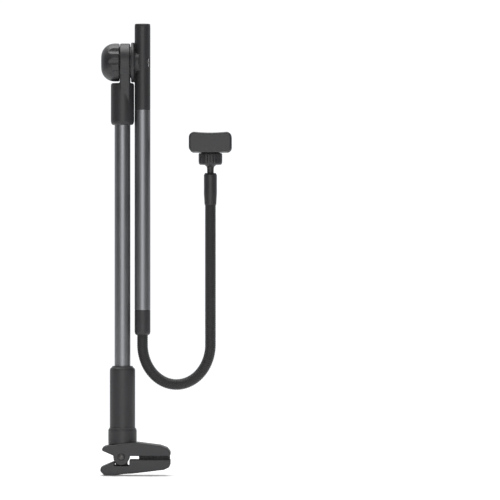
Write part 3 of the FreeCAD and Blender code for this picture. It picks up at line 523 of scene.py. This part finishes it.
def soft_skin(node_name, voxel, passes):
    """A CAD moulding with its edges rounded, as a mould leaves them, standing for that node."""
    piece = merged_copy(node_name, node_name + "_shell")
    skin = piece.modifiers.new("Skin", "REMESH")
    skin.mode = "VOXEL"
    skin.voxel_size = voxel * MM
    skin.use_smooth_shade = True
    rounding = piece.modifiers.new("Rounding", "SMOOTH")
    rounding.factor = 0.5
    rounding.iterations = passes
    settle_modifiers(piece)
    if not piece.data.polygons:
        raise RuntimeError(f"the skin of {node_name} came out empty")
    return piece


def dress(piece, material):
    """Gives a piece one material."""
    piece.data.materials.clear()
    piece.data.materials.append(material)


def stand_for(piece, node_name, body=None):
    """A piece rides with its CAD node's body and replaces it."""
    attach(piece, body or CAD_NODES[node_name]["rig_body"])
    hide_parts(node_name)


def make_shells(group):
    """The softened mouldings of one group."""
    passes = bpy.context.scene.phone_arm_sizes.edge_rounding
    for node_name, voxel in SHELLS[group].items():
        shell = soft_skin(node_name, voxel, passes)
        dress(shell, finishes()["knob_plastic" if node_name in KNOBS else "black_plastic"])
        stand_for(shell, node_name)


def line_piece(name, points):
    """A piece whose mesh is a chain of edges, the path that a node tree follows."""
    mesh = bpy.data.meshes.new(name)
    chain = [(i, i + 1) for i in range(len(points) - 1)]
    mesh.from_pydata([tuple(p) for p in points], chain, [])
    return new_piece(name, mesh)


def grow(piece, group_name, values):
    """Runs a node tree on a piece and keeps the result as a plain mesh."""
    tree = shared_group(group_name)
    modifier = piece.modifiers.new(group_name, "NODES")
    modifier.node_group = tree
    for item in tree.interface.items_tree:
        if item.in_out == "INPUT" and item.name in values:
            modifier[item.identifier] = values[item.name]
    settle_modifiers(piece)
    if not piece.data.polygons:
        raise RuntimeError(f"{piece.name} came out empty")
    return piece


# ---- node trees ----
def finish_tree(tree, given, out, geometry, crease=math.pi):
    """Smooth shading up to a crease angle, then Realize Instances and Set Material."""
    faces = put(tree, "GeometryNodeSetShadeSmooth", {"Geometry": geometry}, domain="FACE")
    angle = put(tree, "GeometryNodeInputMeshEdgeAngle").outputs["Unsigned Angle"]
    creased = maths(tree, "GREATER_THAN", angle, crease)
    smooth = put(tree, "GeometryNodeSetShadeSmooth",
                 {"Geometry": faces.outputs[0], "Selection": creased, "Shade Smooth": False},
                 domain="EDGE")
    real = put(tree, "GeometryNodeRealizeInstances", {"Geometry": smooth.outputs[0]})
    dressed = put(tree, "GeometryNodeSetMaterial", {"Geometry": real.outputs[0],
                                                    "Material": given.outputs["Material"]})
    tree.links.new(dressed.outputs[0], out.inputs["Geometry"])
    return tree


def ribbed_hose_tree():
    """A closed hose along a chain of edges, with evenly spaced ribs and narrow grooves."""
    tree, given, out = open_group(
        "Ribbed Hose", "GeometryNodeTree",
        [("Geometry", SHAPE, None), ("Radius", FLOAT, 6.5 * MM),
         ("Groove Depth", FLOAT, 0.4 * MM), ("Ribs", WHOLE, 10), ("Rings per Rib", WHOLE, 8),
         ("Sides", WHOLE, 24), ("Material", FINISH, None)],
        [("Geometry", SHAPE)])
    roundness = 0.5                 # below 1, the ribs are broad and the grooves narrow
    path = put(tree, "GeometryNodeMeshToCurve", {"Mesh": given.outputs["Geometry"]})
    steps = times(tree, given.outputs["Ribs"], given.outputs["Rings per Rib"])
    count = plus(tree, steps, 1.0)
    even = put(tree, "GeometryNodeResampleCurve", {"Curve": path.outputs[0], "Count": count},
               mode="COUNT")
    share = put(tree, "GeometryNodeSplineParameter").outputs["Factor"]
    phase = times(tree, times(tree, share, given.outputs["Ribs"]), math.pi)
    crown = maths(tree, "POWER", maths(tree, "ABSOLUTE", maths(tree, "SINE", phase)), roundness)
    sunk = times(tree, minus(tree, 1.0, crown), given.outputs["Groove Depth"])
    radius = minus(tree, given.outputs["Radius"], sunk)
    ring = put(tree, "GeometryNodeCurvePrimitiveCircle", {"Resolution": given.outputs["Sides"],
                                                          "Radius": 1.0})
    hose = put(tree, "GeometryNodeCurveToMesh", {"Curve": even.outputs[0], "Scale": radius,
                                                 "Profile Curve": ring.outputs["Curve"],
                                                 "Fill Caps": True})
    return finish_tree(tree, given, out, hose.outputs[0])


def cross_screw_tree():
    """A domed screw with a cross recess at each point, its head turned along the axis."""
    tree, given, out = open_group(
        "Cross Recess Screw", "GeometryNodeTree",
        [("Geometry", SHAPE, None), ("Head Radius", FLOAT, 2.6 * MM),
         ("Head Height", FLOAT, 1.5 * MM), ("Shank Radius", FLOAT, 1.3 * MM),
         ("Length", FLOAT, 8.0 * MM), ("Recess Depth", FLOAT, 0.9 * MM),
         ("Material", FINISH, None)],
        [("Geometry", SHAPE)])
    wide, tall = given.outputs["Head Radius"], given.outputs["Head Height"]
    dome_share, slot_width, slot_length, crease = 2.0, 0.26, 1.15, math.radians(34)
    neck_share = 0.9                # of the head's height, where the shank begins

    def lifted(shape, height):
        shift = put(tree, "ShaderNodeCombineXYZ", {"Z": height}).outputs[0]
        return put(tree, "GeometryNodeTransform", {"Geometry": shape, "Translation": shift})

    barrel = put(tree, "GeometryNodeMeshCylinder", {"Vertices": 32, "Radius": wide, "Depth": tall})
    barrel = lifted(barrel.outputs["Mesh"], times(tree, tall, -0.5))
    dome_radius = times(tree, wide, dome_share)
    dome = put(tree, "GeometryNodeMeshUVSphere", {"Segments": 32, "Rings": 40,
                                                  "Radius": dome_radius})
    dome = lifted(dome.outputs["Mesh"], times(tree, dome_radius, -1.0))
    head = put(tree, "GeometryNodeMeshBoolean", {"Mesh 2": barrel.outputs[0]},
               operation="INTERSECT")
    tree.links.new(dome.outputs[0], head.inputs["Mesh 2"])
    depth = times(tree, given.outputs["Recess Depth"], 2.0)
    narrow, long = times(tree, wide, slot_width), times(tree, wide, slot_length)
    slots = []
    for x, y in ((narrow, long), (long, narrow)):
        size = put(tree, "ShaderNodeCombineXYZ", {"X": x, "Y": y, "Z": depth}).outputs[0]
        slots.append(put(tree, "GeometryNodeMeshCube", {"Size": size}).outputs["Mesh"])
    cut = put(tree, "GeometryNodeMeshBoolean", {"Mesh 1": head.outputs[0], "Mesh 2": slots[0]},
              operation="DIFFERENCE")
    tree.links.new(slots[1], cut.inputs["Mesh 2"])
    reach = minus(tree, given.outputs["Length"], times(tree, tall, neck_share))
    shank = put(tree, "GeometryNodeMeshCylinder",
                {"Vertices": 20, "Radius": given.outputs["Shank Radius"], "Depth": reach})
    sunk = minus(tree, times(tree, reach, 0.5), given.outputs["Length"])
    shank = lifted(shank.outputs["Mesh"], sunk)
    whole = put(tree, "GeometryNodeJoinGeometry", {"Geometry": cut.outputs[0]})
    tree.links.new(shank.outputs[0], whole.inputs[0])
    axis = put(tree, "GeometryNodeInputNamedAttribute", {"Name": "screw_axis"},
               data_type="FLOAT_VECTOR")
    turned = put(tree, "FunctionNodeAlignRotationToVector", {"Vector": axis.outputs[0]}, axis="Z")
    rows = put(tree, "GeometryNodeInstanceOnPoints",
               {"Points": given.outputs["Geometry"], "Instance": whole.outputs[0],
                "Rotation": turned.outputs[0]})
    return finish_tree(tree, given, out, rows.outputs[0], crease)


def ridge_row_tree():
    """A rounded bar across each point, tapered at both ends."""
    tree, given, out = open_group(
        "Ridge Row", "GeometryNodeTree",
        [("Geometry", SHAPE, None), ("Radius", FLOAT, 0.55 * MM),
         ("Length", FLOAT, 24.0 * MM), ("Material", FINISH, None)],
        [("Geometry", SHAPE)])
    steps, squareness, sides = 33, 12.0, 12
    half = times(tree, given.outputs["Length"], 0.5)
    near = put(tree, "ShaderNodeCombineXYZ", {"Y": times(tree, half, -1.0)})
    far = put(tree, "ShaderNodeCombineXYZ", {"Y": half})
    bar = put(tree, "GeometryNodeCurvePrimitiveLine", {"Start": near.outputs[0],
                                                       "End": far.outputs[0]})
    even = put(tree, "GeometryNodeResampleCurve", {"Curve": bar.outputs[0], "Count": steps},
               mode="COUNT")
    share = put(tree, "GeometryNodeSplineParameter").outputs["Factor"]
    ends = maths(tree, "ABSOLUTE", minus(tree, times(tree, share, 2.0), 1.0))
    taper = maths(tree, "SQRT", minus(tree, 1.0, maths(tree, "POWER", ends, squareness)))
    ring = put(tree, "GeometryNodeCurvePrimitiveCircle", {"Resolution": sides, "Radius": 1.0})
    shape = put(tree, "GeometryNodeCurveToMesh",
                {"Curve": even.outputs[0], "Profile Curve": ring.outputs["Curve"],
                 "Scale": times(tree, taper, given.outputs["Radius"]), "Fill Caps": True})
    rows = put(tree, "GeometryNodeInstanceOnPoints", {"Points": given.outputs["Geometry"],
                                                      "Instance": shape.outputs[0]})
    return finish_tree(tree, given, out, rows.outputs[0])


GROUP_BUILDERS = {
    "Mould Grain": mould_grain_group, "Drawn Grain": drawn_grain_group,
    "Edge Wear": edge_wear_group, "Settled Dust": settled_dust_group,
    "Parting Line": parting_line_group, "Ribbed Hose": ribbed_hose_tree,
    "Cross Recess Screw": cross_screw_tree, "Ridge Row": ridge_row_tree,
}


def wire(name, points, radius, finish, sides=14):
    """A plain round wire along a chain of points."""
    piece = line_piece(name, points)
    return grow(piece, "Ribbed Hose", {
        "Radius": radius, "Groove Depth": 0.0, "Ribs": 1, "Rings per Rib": len(points) - 1,
        "Sides": sides, "Material": finishes()[finish]})


# ---- screws and ridges ----
def separate_solids(mesh):
    """The vertex positions of each loose part of a mesh."""
    bm = bmesh.new()
    bm.from_mesh(mesh)
    bmesh.ops.remove_doubles(bm, verts=bm.verts, dist=MERGE)
    left, parts = set(bm.verts), []
    for start in bm.verts:
        if start not in left:
            continue
        left.remove(start)
        queue, part = [start], []
        while queue:
            vertex = queue.pop()
            part.append(vertex.co.copy())
            for edge in vertex.link_edges:
                other = edge.other_vert(vertex)
                if other in left:
                    left.remove(other)
                    queue.append(other)
        parts.append(part)
    bm.free()
    return parts


def screw_measures(points):
    """Head face, outward axis, length, head radius and shank radius of one screw."""
    low = Vector(map(min, zip(*points)))
    high = Vector(map(max, zip(*points)))
    extent, centre = high - low, (low + high) / 2
    long = max(range(3), key=lambda i: extent[i])
    across = [i for i in range(3) if i != long]
    flat = 0.02 * MM

    def reach(end):
        near = [p for p in points if abs(p[long] - end) < flat]
        return max(math.hypot(*(p[i] - centre[i] for i in across)) for p in near)

    reaches = {1: reach(high[long]), -1: reach(low[long])}
    side = max(reaches, key=reaches.get)
    axis, face = Vector((0, 0, 0)), centre.copy()
    axis[long] = side
    face[long] = high[long] if side > 0 else low[long]
    return face, axis, extent[long], reaches[side], reaches[-side]


def make_screws(node_name, head_height):
    """The screws of one CAD node, in one mesh, with a cross recess in each head."""
    found = [screw_measures(part) for part in separate_solids(CAD_NODES[node_name].data)]
    mesh = bpy.data.meshes.new(node_name + "_crossed")
    mesh.from_pydata([tuple(face) for face, *_ in found], [], [])
    axes = mesh.attributes.new("screw_axis", "FLOAT_VECTOR", "POINT")
    axes.data.foreach_set("vector", [value for _, axis, *_ in found for value in axis])
    _, _, whole_length, head_radius, shank_radius = found[0]
    recess_share = 0.6
    piece = grow(new_piece(node_name + "_crossed", mesh), "Cross Recess Screw", {
        "Head Radius": head_radius, "Head Height": head_height * MM, "Length": whole_length,
        "Shank Radius": shank_radius, "Recess Depth": head_height * recess_share * MM,
        "Material": finish_of(node_name)})
    stand_for(piece, node_name)


def make_thumb_ridges(node_name, body, first, pitch, count, fall):
    """A row of ridges across a thumb lever, laid on the lever's own surface. First is the first
    ridge's distance from the lever's tip, and fall is -1 from above or 1 from below."""
    radius = bpy.context.scene.phone_arm_sizes.ridge_radius
    shell = bpy.data.objects[node_name + "_shell"]
    tip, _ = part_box(node_name)
    ray_start, width, sunk = 100.0 * MM, 26.0 * MM, 0.45
    points = []
    for i in range(count):
        x = tip.x + first + pitch * i
        hit, place, _, _ = shell.ray_cast((x, 0, -ray_start * fall), (0, 0, fall))
        if not hit:
            raise RuntimeError(f"no lever under the ridge at {x}")
        points.append((x, 0, place.z + fall * radius * sunk))
    mesh = bpy.data.meshes.new(body + "_thumb_ridges")
    mesh.from_pydata(points, [], [])
    piece = grow(new_piece(body + "_thumb_ridges", mesh), "Ridge Row", {
        "Radius": radius, "Length": width, "Material": finishes()["black_plastic"]})
    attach(piece, body)


# ---- gooseneck ----
def joint_place(name):
    """A joint's position in the frame."""
    return Vector(JOINTS[name]["pos_m"])


def neck_centreline():
    """Points down from the arm's ferrule, round the half ellipse and up to the head's ferrule."""
    inside = 3.0 * MM               # how far the sleeve runs into each ferrule
    down_steps, bend_steps, up_steps = 20, 240, 200
    root_low, root_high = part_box("root_ferrule")
    tip_low, tip_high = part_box("end_ferrule")
    x_root = (root_low.x + root_high.x) / 2
    x_tip = (tip_low.x + tip_high.x) / 2
    half, middle = (x_tip - x_root) / 2, (x_tip + x_root) / 2
    first, second = joint_place("neck_bend_01"), joint_place("neck_bend_02")
    angle_1 = math.acos((middle - first.x) / half)
    angle_2 = math.acos((middle - second.x) / half)
    drop = (first.z - second.z) / (math.sin(angle_2) - math.sin(angle_1))
    turn_z = first.z + drop * math.sin(angle_1)
    start_z, end_z = root_low.z + inside, tip_low.z + inside
    line = [Vector((x_root, 0, start_z + (turn_z - start_z) * i / down_steps))
            for i in range(down_steps)]
    for i in range(bend_steps + 1):
        angle = math.pi * i / bend_steps
        line.append(Vector((middle - half * math.cos(angle), 0, turn_z - drop * math.sin(angle))))
    line += [Vector((x_tip, 0, turn_z + (end_z - turn_z) * i / up_steps))
             for i in range(1, up_steps + 1)]
    return line


def lengths_along(line):
    """The distance of each point from the line's start."""
    run = [0.0]
    for before, after in zip(line, line[1:]):
        run.append(run[-1] + (after - before).length)
    return run


def cut_line(line, run, start, end):
    """The part of a line between two distances, with its end points put in."""
    tiny, apart = 1e-9, 1e-5

    def at(distance):
        for i in range(1, len(line)):
            if run[i] >= distance - tiny:
                share = (distance - run[i - 1]) / (run[i] - run[i - 1])
                return line[i - 1].lerp(line[i], max(0.0, min(1.0, share)))
        return line[-1]

    inner = [p for p, s in zip(line, run) if start + apart < s < end - apart]
    return [at(start), *inner, at(end)]


def make_sleeve():
    """The sleeve in one piece for each bend, from mid-link to mid-link, ribs running on."""
    sizes = bpy.context.scene.phone_arm_sizes
    line = neck_centreline()
    run = lengths_along(line)
    hinges = sorted(name for name in JOINTS if name.startswith("neck_"))
    stations = []
    for name in hinges:
        place = joint_place(name)
        nearest = min(range(len(line)), key=lambda i: (line[i] - place).length)
        stations.append(run[nearest])
    ribs = round(run[-1] / sizes.rib_pitch)
    pitch = run[-1] / ribs
    ends = [0] + [round((a + b) / 2 / pitch) for a, b in zip(stations, stations[1:])] + [ribs]
    low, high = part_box("gooseneck_link_06")
    radius = (high.y - low.y) / 2
    step_back = 1.0 * MM            # to the point that gives the line's heading at a hinge
    for number, name in enumerate(hinges):
        start, end = ends[number], ends[number + 1]
        piece = line_piece(f"neck_sleeve_{number + 1:02d}",
                           cut_line(line, run, start * pitch, end * pitch))
        grow(piece, "Ribbed Hose", {
            "Radius": radius, "Groove Depth": sizes.rib_depth, "Ribs": end - start,
            "Rings per Rib": 8, "Sides": 26, "Material": finishes()["gooseneck_sleeve"]})
        place = joint_place(name)
        before = cut_line(line, run, 0.0, stations[number] - step_back)[-1]
        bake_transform(piece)
        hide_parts(f"gooseneck_link_{number + 1:02d}")
        if number == len(hinges) - 1:
            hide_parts(f"gooseneck_link_{number + 2:02d}")


# ---- springs ----
def helix(centre, axis, first, radius, start, length, turns, steps=30):
    """Points of a helix about an axis, from a start distance along it."""
    side = axis.cross(first).normalized()
    points = []
    for i in range(int(turns * steps) + 1):
        angle = 2 * math.pi * i / steps
        along = start + length * i / (turns * steps)
        points.append(centre + axis * along + (first * math.cos(angle) + side * math.sin(angle))
                      * radius)
    return points


def make_clip_spring():
    """The clip's torsion spring: close turns about the pin and a leg in each thumb lever."""
    wire_radius, coil_radius, turns, leg_steps = 0.9 * MM, 4.1 * MM, 6.5, 8
    low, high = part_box("torsion_spring")
    pin = joint_place("clip_jaw_hinge")
    leg_y = high.y - wire_radius
    coil = helix(Vector((pin.x, 0, pin.z)), Vector((0, 1, 0)), Vector((0, 0, -1)), coil_radius,
                 -leg_y, 2 * leg_y, turns)
    lower_end = Vector((low.x + wire_radius, -leg_y, low.z + wire_radius))
    upper_end = Vector((low.x + 1.0 * MM + wire_radius, leg_y, high.z - wire_radius))
    path = [lower_end.lerp(coil[0], i / leg_steps) for i in range(leg_steps)]
    path += coil
    path += [coil[-1].lerp(upper_end, i / leg_steps) for i in range(1, leg_steps + 1)]
    spring = wire("clip_spring_coil", path, wire_radius, "spring_wire")
    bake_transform(spring)
    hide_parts("torsion_spring")


def make_clamp_spring(side):
    """A tension spring of the phone clamp, with an eye on its pin and a hook in the slide."""
    node_name = "clamp_spring_" + side
    low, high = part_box(node_name)
    wire_radius, eye_radius, corner = 0.3 * MM, 1.25 * MM, 0.4 * MM
    turns, turn_steps, eye_steps = 44, 14, 16
    coil_radius = (high.x - low.x) / 2 - wire_radius
    x, _, z = (low + high) / 2
    axis, up = Vector((0, 1, 0)), Vector((0, 0, 1))
    eye_y, hook_y = low.y + 1.4 * MM, high.y - 0.4 * MM
    coil_start, coil_end = eye_y + 3.3 * MM, hook_y - 3.6 * MM
    angles = [2 * math.pi * i / eye_steps for i in range(eye_steps + 1)]
    eye = [Vector((x + eye_radius * math.sin(a), eye_y + eye_radius * math.cos(a), z))
           for a in angles]
    coil = helix(Vector((x, 0, z)), axis, up, coil_radius, coil_start, coil_end - coil_start,
                 turns, turn_steps)
    hook = [Vector(place) for place in ((x, coil_end + 1.0 * MM, z), (x, hook_y - corner, z),
                                        (x, hook_y, z - corner),
                                        (x, hook_y, low.z + wire_radius))]
    spring = wire(node_name + "_coil", [*eye, *coil, *hook], wire_radius, "spring_wire", 8)
    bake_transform(spring)
    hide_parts(node_name)


# ---- stage ----
def make_floor(floor_z, centre, radius):
    """A pale round floor with a softened rim, in one closed disc."""
    bm = bmesh.new()
    thickness, rim, sides = 12 * MM, 4 * MM, 160
    shoulder = rim * 0.3
    profile = [(0.0, floor_z), (radius - rim, floor_z), (radius - shoulder, floor_z - shoulder),
               (radius, floor_z - rim), (radius, floor_z - thickness), (0.0, floor_z - thickness)]
    ring = [bm.verts.new((centre.x + r, centre.y, z)) for r, z in profile]
    edges = [bm.edges.new(pair) for pair in zip(ring, ring[1:])]
    bmesh.ops.spin(bm, geom=ring + edges, cent=(centre.x, centre.y, 0), axis=(0, 0, 1),
                   angle=2 * math.pi, steps=sides)
    bmesh.ops.remove_doubles(bm, verts=bm.verts, dist=MERGE)
    bmesh.ops.recalc_face_normals(bm, faces=bm.faces)
    mesh = bpy.data.meshes.new("studio_floor")
    bm.to_mesh(mesh)
    bm.free()
    floor = new_piece("studio_floor", mesh)
    material, tree, shader = open_material("studio_paper", {
        "Metallic": 0.0, "Specular IOR Level": 0.1, "Emission Color": (1.0, 1.0, 1.0, 1.0),
        "Emission Strength": 0.22})
    grain = effect(tree, "Mould Grain", {"Grain Scale": 500.0, "Cloud Scale": 3.0,
                                         "Cloud Contrast": 0.3})
    tree.links.new(blended(tree, grain["Shade"], *PAPER),
                   shader.inputs["Base Color"])
    tree.links.new(spread(tree, grain["Shade"], 0.0, 1.0, 0.8, 0.95), shader.inputs["Roughness"])
    dress(floor, material)


def make_air(shown, front, back):
    """A white surround where the camera sees it. It lights weakly from the front, where the
    studio is dark, and strongly from behind, where the backdrop hangs."""
    world = bpy.data.worlds.new("studio_air")
    world.use_nodes = True
    tree = world.node_tree
    tree.nodes.clear()
    seen = put(tree, "ShaderNodeLightPath").outputs["Is Camera Ray"]
    towards = put(tree, "ShaderNodeTexCoord").outputs["Generated"]
    depth = put(tree, "ShaderNodeSeparateXYZ", {0: towards}).outputs["Y"]
    lit = spread(tree, depth, -0.15, 0.45, front, back)
    strength = put(tree, "ShaderNodeMix", {0: seen, 2: lit, 3: shown}).outputs[0]
    air = put(tree, "ShaderNodeBackground", {"Color": AIR, "Strength": strength})
    put(tree, "ShaderNodeOutputWorld", {"Surface": air.outputs[0]})
    bpy.context.scene.world = world


def soft_light(name, place, aim, width, height, power):
    """A rectangular softbox aimed at a point."""
    data = bpy.data.lights.new(name, "AREA")
    data.shape = "RECTANGLE"
    data.size, data.size_y = width, height
    data.energy = power
    lamp = bpy.data.objects.new(name, data)
    lamp.location = place
    lamp.rotation_euler = (aim - place).to_track_quat("-Z", "Y").to_euler()
    bpy.context.scene.collection.objects.link(lamp)


def make_camera():
    """A long lens looking level along +Y, whose frame holds the folded arm."""
    data = bpy.data.cameras.new("front_camera")
    data.lens = data.sensor_width * -VIEW_PLACE[1] / VIEW_WIDTH
    camera = bpy.data.objects.new("front_camera", data)
    camera.location = VIEW_PLACE
    camera.rotation_euler = (math.pi / 2, 0, 0)
    data.clip_end = 60.0
    bpy.context.scene.collection.objects.link(camera)
    bpy.context.scene.camera = camera


# ---- operators ----
class PHONEARM_OT_clip(bpy.types.Operator):
    """Build the spring clip's two moulded halves and their thumb ridges"""

    bl_idname = "phone_arm.clip"
    bl_label = "Clip Shells"

    def execute(self, context):
        make_shells("clip")
        ridges = context.scene.phone_arm_sizes.ridge_count
        make_thumb_ridges("clip_upper_half", "clip_base", first=1.6 * MM, pitch=1.5 * MM,
                          count=min(ridges, 4), fall=-1)
        make_thumb_ridges("clip_lower_half", "clip_jaw", first=3.292 * MM, pitch=2.4 * MM,
                          count=ridges, fall=1)
        return {"FINISHED"}


class PHONEARM_OT_swivel(bpy.types.Operator):
    """Build the post socket and the swivel lock's knob"""

    bl_idname = "phone_arm.swivel"
    bl_label = "Swivel Shells"

    def execute(self, context):
        make_shells("swivel")
        return {"FINISHED"}


class PHONEARM_OT_elbow(bpy.types.Operator):
    """Build the elbow's housing, knob and hinge bar with its end cap"""

    bl_idname = "phone_arm.elbow"
    bl_label = "Elbow Shells"

    def execute(self, context):
        make_shells("elbow")
        return {"FINISHED"}


class PHONEARM_OT_neck(bpy.types.Operator):
    """Build the gooseneck's ferrules and its ribbed sleeve"""

    bl_idname = "phone_arm.neck"
    bl_label = "Gooseneck"

    def execute(self, context):
        make_shells("neck")
        make_sleeve()
        return {"FINISHED"}


class PHONEARM_OT_head(bpy.types.Operator):
    """Build the ball joint's socket and lock nut"""

    bl_idname = "phone_arm.head"
    bl_label = "Ball Joint Shells"

    def execute(self, context):
        make_shells("head")
        return {"FINISHED"}


class PHONEARM_OT_holder(bpy.types.Operator):
    """Build the phone clamp's moulded body, back and sliding jaw"""

    bl_idname = "phone_arm.holder"
    bl_label = "Phone Clamp Shells"

    def execute(self, context):
        make_shells("holder")
        return {"FINISHED"}


class PHONEARM_OT_pads(bpy.types.Operator):
    """Build the rubber pads of the clip and of the phone clamp"""

    bl_idname = "phone_arm.pads"
    bl_label = "Rubber Pads"

    def execute(self, context):
        passes = 3
        for node_name, voxel in PADS.items():
            pad = soft_skin(node_name, voxel, passes)
            dress(pad, finishes()["grip_rubber"])
            stand_for(pad, node_name)
        return {"FINISHED"}


class PHONEARM_OT_screws(bpy.types.Operator):
    """Set the cross-recess screws of the socket, sleeves and clamp cover"""

    bl_idname = "phone_arm.screws"
    bl_label = "Screws"

    def execute(self, context):
        for node_name, head_height in SCREWS.items():
            make_screws(node_name, head_height)
        return {"FINISHED"}


class PHONEARM_OT_springs(bpy.types.Operator):
    """Wind the clip's torsion spring and the clamp's two tension springs"""

    bl_idname = "phone_arm.springs"
    bl_label = "Springs"

    def execute(self, context):
        make_clip_spring()
        make_clamp_spring("left")
        make_clamp_spring("right")
        return {"FINISHED"}


class PHONEARM_OT_metalwork(bpy.types.Operator):
    """Give the tubes, bolts, pins and washers their finishes"""

    bl_idname = "phone_arm.metalwork"
    bl_label = "Tubes and Hardware"

    def execute(self, context):
        for node_name, node in CAD_NODES.items():
            if not node.hide_render:
                node.material_slots[0].material = finish_of(node_name)
        return {"FINISHED"}


class PHONEARM_OT_stage(bpy.types.Operator):
    """Build the pale floor, the softboxes and the camera"""

    bl_idname = "phone_arm.stage"
    bl_label = "Studio Stage"

    def execute(self, context):
        low, high = CAD_BOX
        middle = (low + high) / 2
        side, clearance = Vector((middle.x, 0, 0)), 0.5 * MM
        make_floor(low.z - clearance, middle, FLOOR_RADIUS)
        make_air(shown=1.06, front=0.12, back=0.75)
        for name, (place, aim, width, height, power) in SOFTBOXES.items():
            soft_light(name, Vector(place) + side, Vector(aim) + side, width, height, power)
        context.scene.view_settings.view_transform = "Standard"
        make_camera()
        return {"FINISHED"}


class PHONEARM_PT_panel(bpy.types.Panel):
    """The holder's steps and settings in the sidebar"""

    bl_idname = "PHONEARM_PT_panel"
    bl_label = "Phone Holder Arm"
    bl_space_type = "VIEW_3D"
    bl_region_type = "UI"
    bl_category = "Phone Arm"

    def draw(self, context):
        layout = self.layout
        for operator in OPERATORS:
            layout.operator(operator.bl_idname)
        for settings in (context.scene.phone_arm_sizes, context.scene.phone_arm_colours):
            box = layout.box()
            for name in settings.bl_rna.properties.keys():
                if name not in ("rna_type", "name"):
                    box.prop(settings, name)


OPERATORS = (PHONEARM_OT_clip, PHONEARM_OT_swivel, PHONEARM_OT_elbow, PHONEARM_OT_neck,
             PHONEARM_OT_head, PHONEARM_OT_holder, PHONEARM_OT_pads, PHONEARM_OT_screws,
             PHONEARM_OT_springs, PHONEARM_OT_metalwork, PHONEARM_OT_stage)
CLASSES = (PhoneArmSizes, PhoneArmColours, *OPERATORS, PHONEARM_PT_panel)


def register():
    """Adds the classes and the scene's two groups of settings."""
    for cls in CLASSES:
        bpy.utils.register_class(cls)
    bpy.types.Scene.phone_arm_sizes = bpy.props.PointerProperty(type=PhoneArmSizes)
    bpy.types.Scene.phone_arm_colours = bpy.props.PointerProperty(type=PhoneArmColours)


def unregister():
    """Takes them away again."""
    del bpy.types.Scene.phone_arm_colours
    del bpy.types.Scene.phone_arm_sizes
    for cls in reversed(CLASSES):
        bpy.utils.unregister_class(cls)


def main():
    """Builds every piece in order."""
    register()
    bpy.ops.phone_arm.clip()
    bpy.ops.phone_arm.swivel()
    bpy.ops.phone_arm.elbow()
    bpy.ops.phone_arm.neck()
    bpy.ops.phone_arm.head()
    bpy.ops.phone_arm.holder()
    bpy.ops.phone_arm.pads()
    bpy.ops.phone_arm.screws()
    bpy.ops.phone_arm.springs()
    bpy.ops.phone_arm.metalwork()
    bpy.ops.phone_arm.stage()


if __name__ == "__main__":
    main()
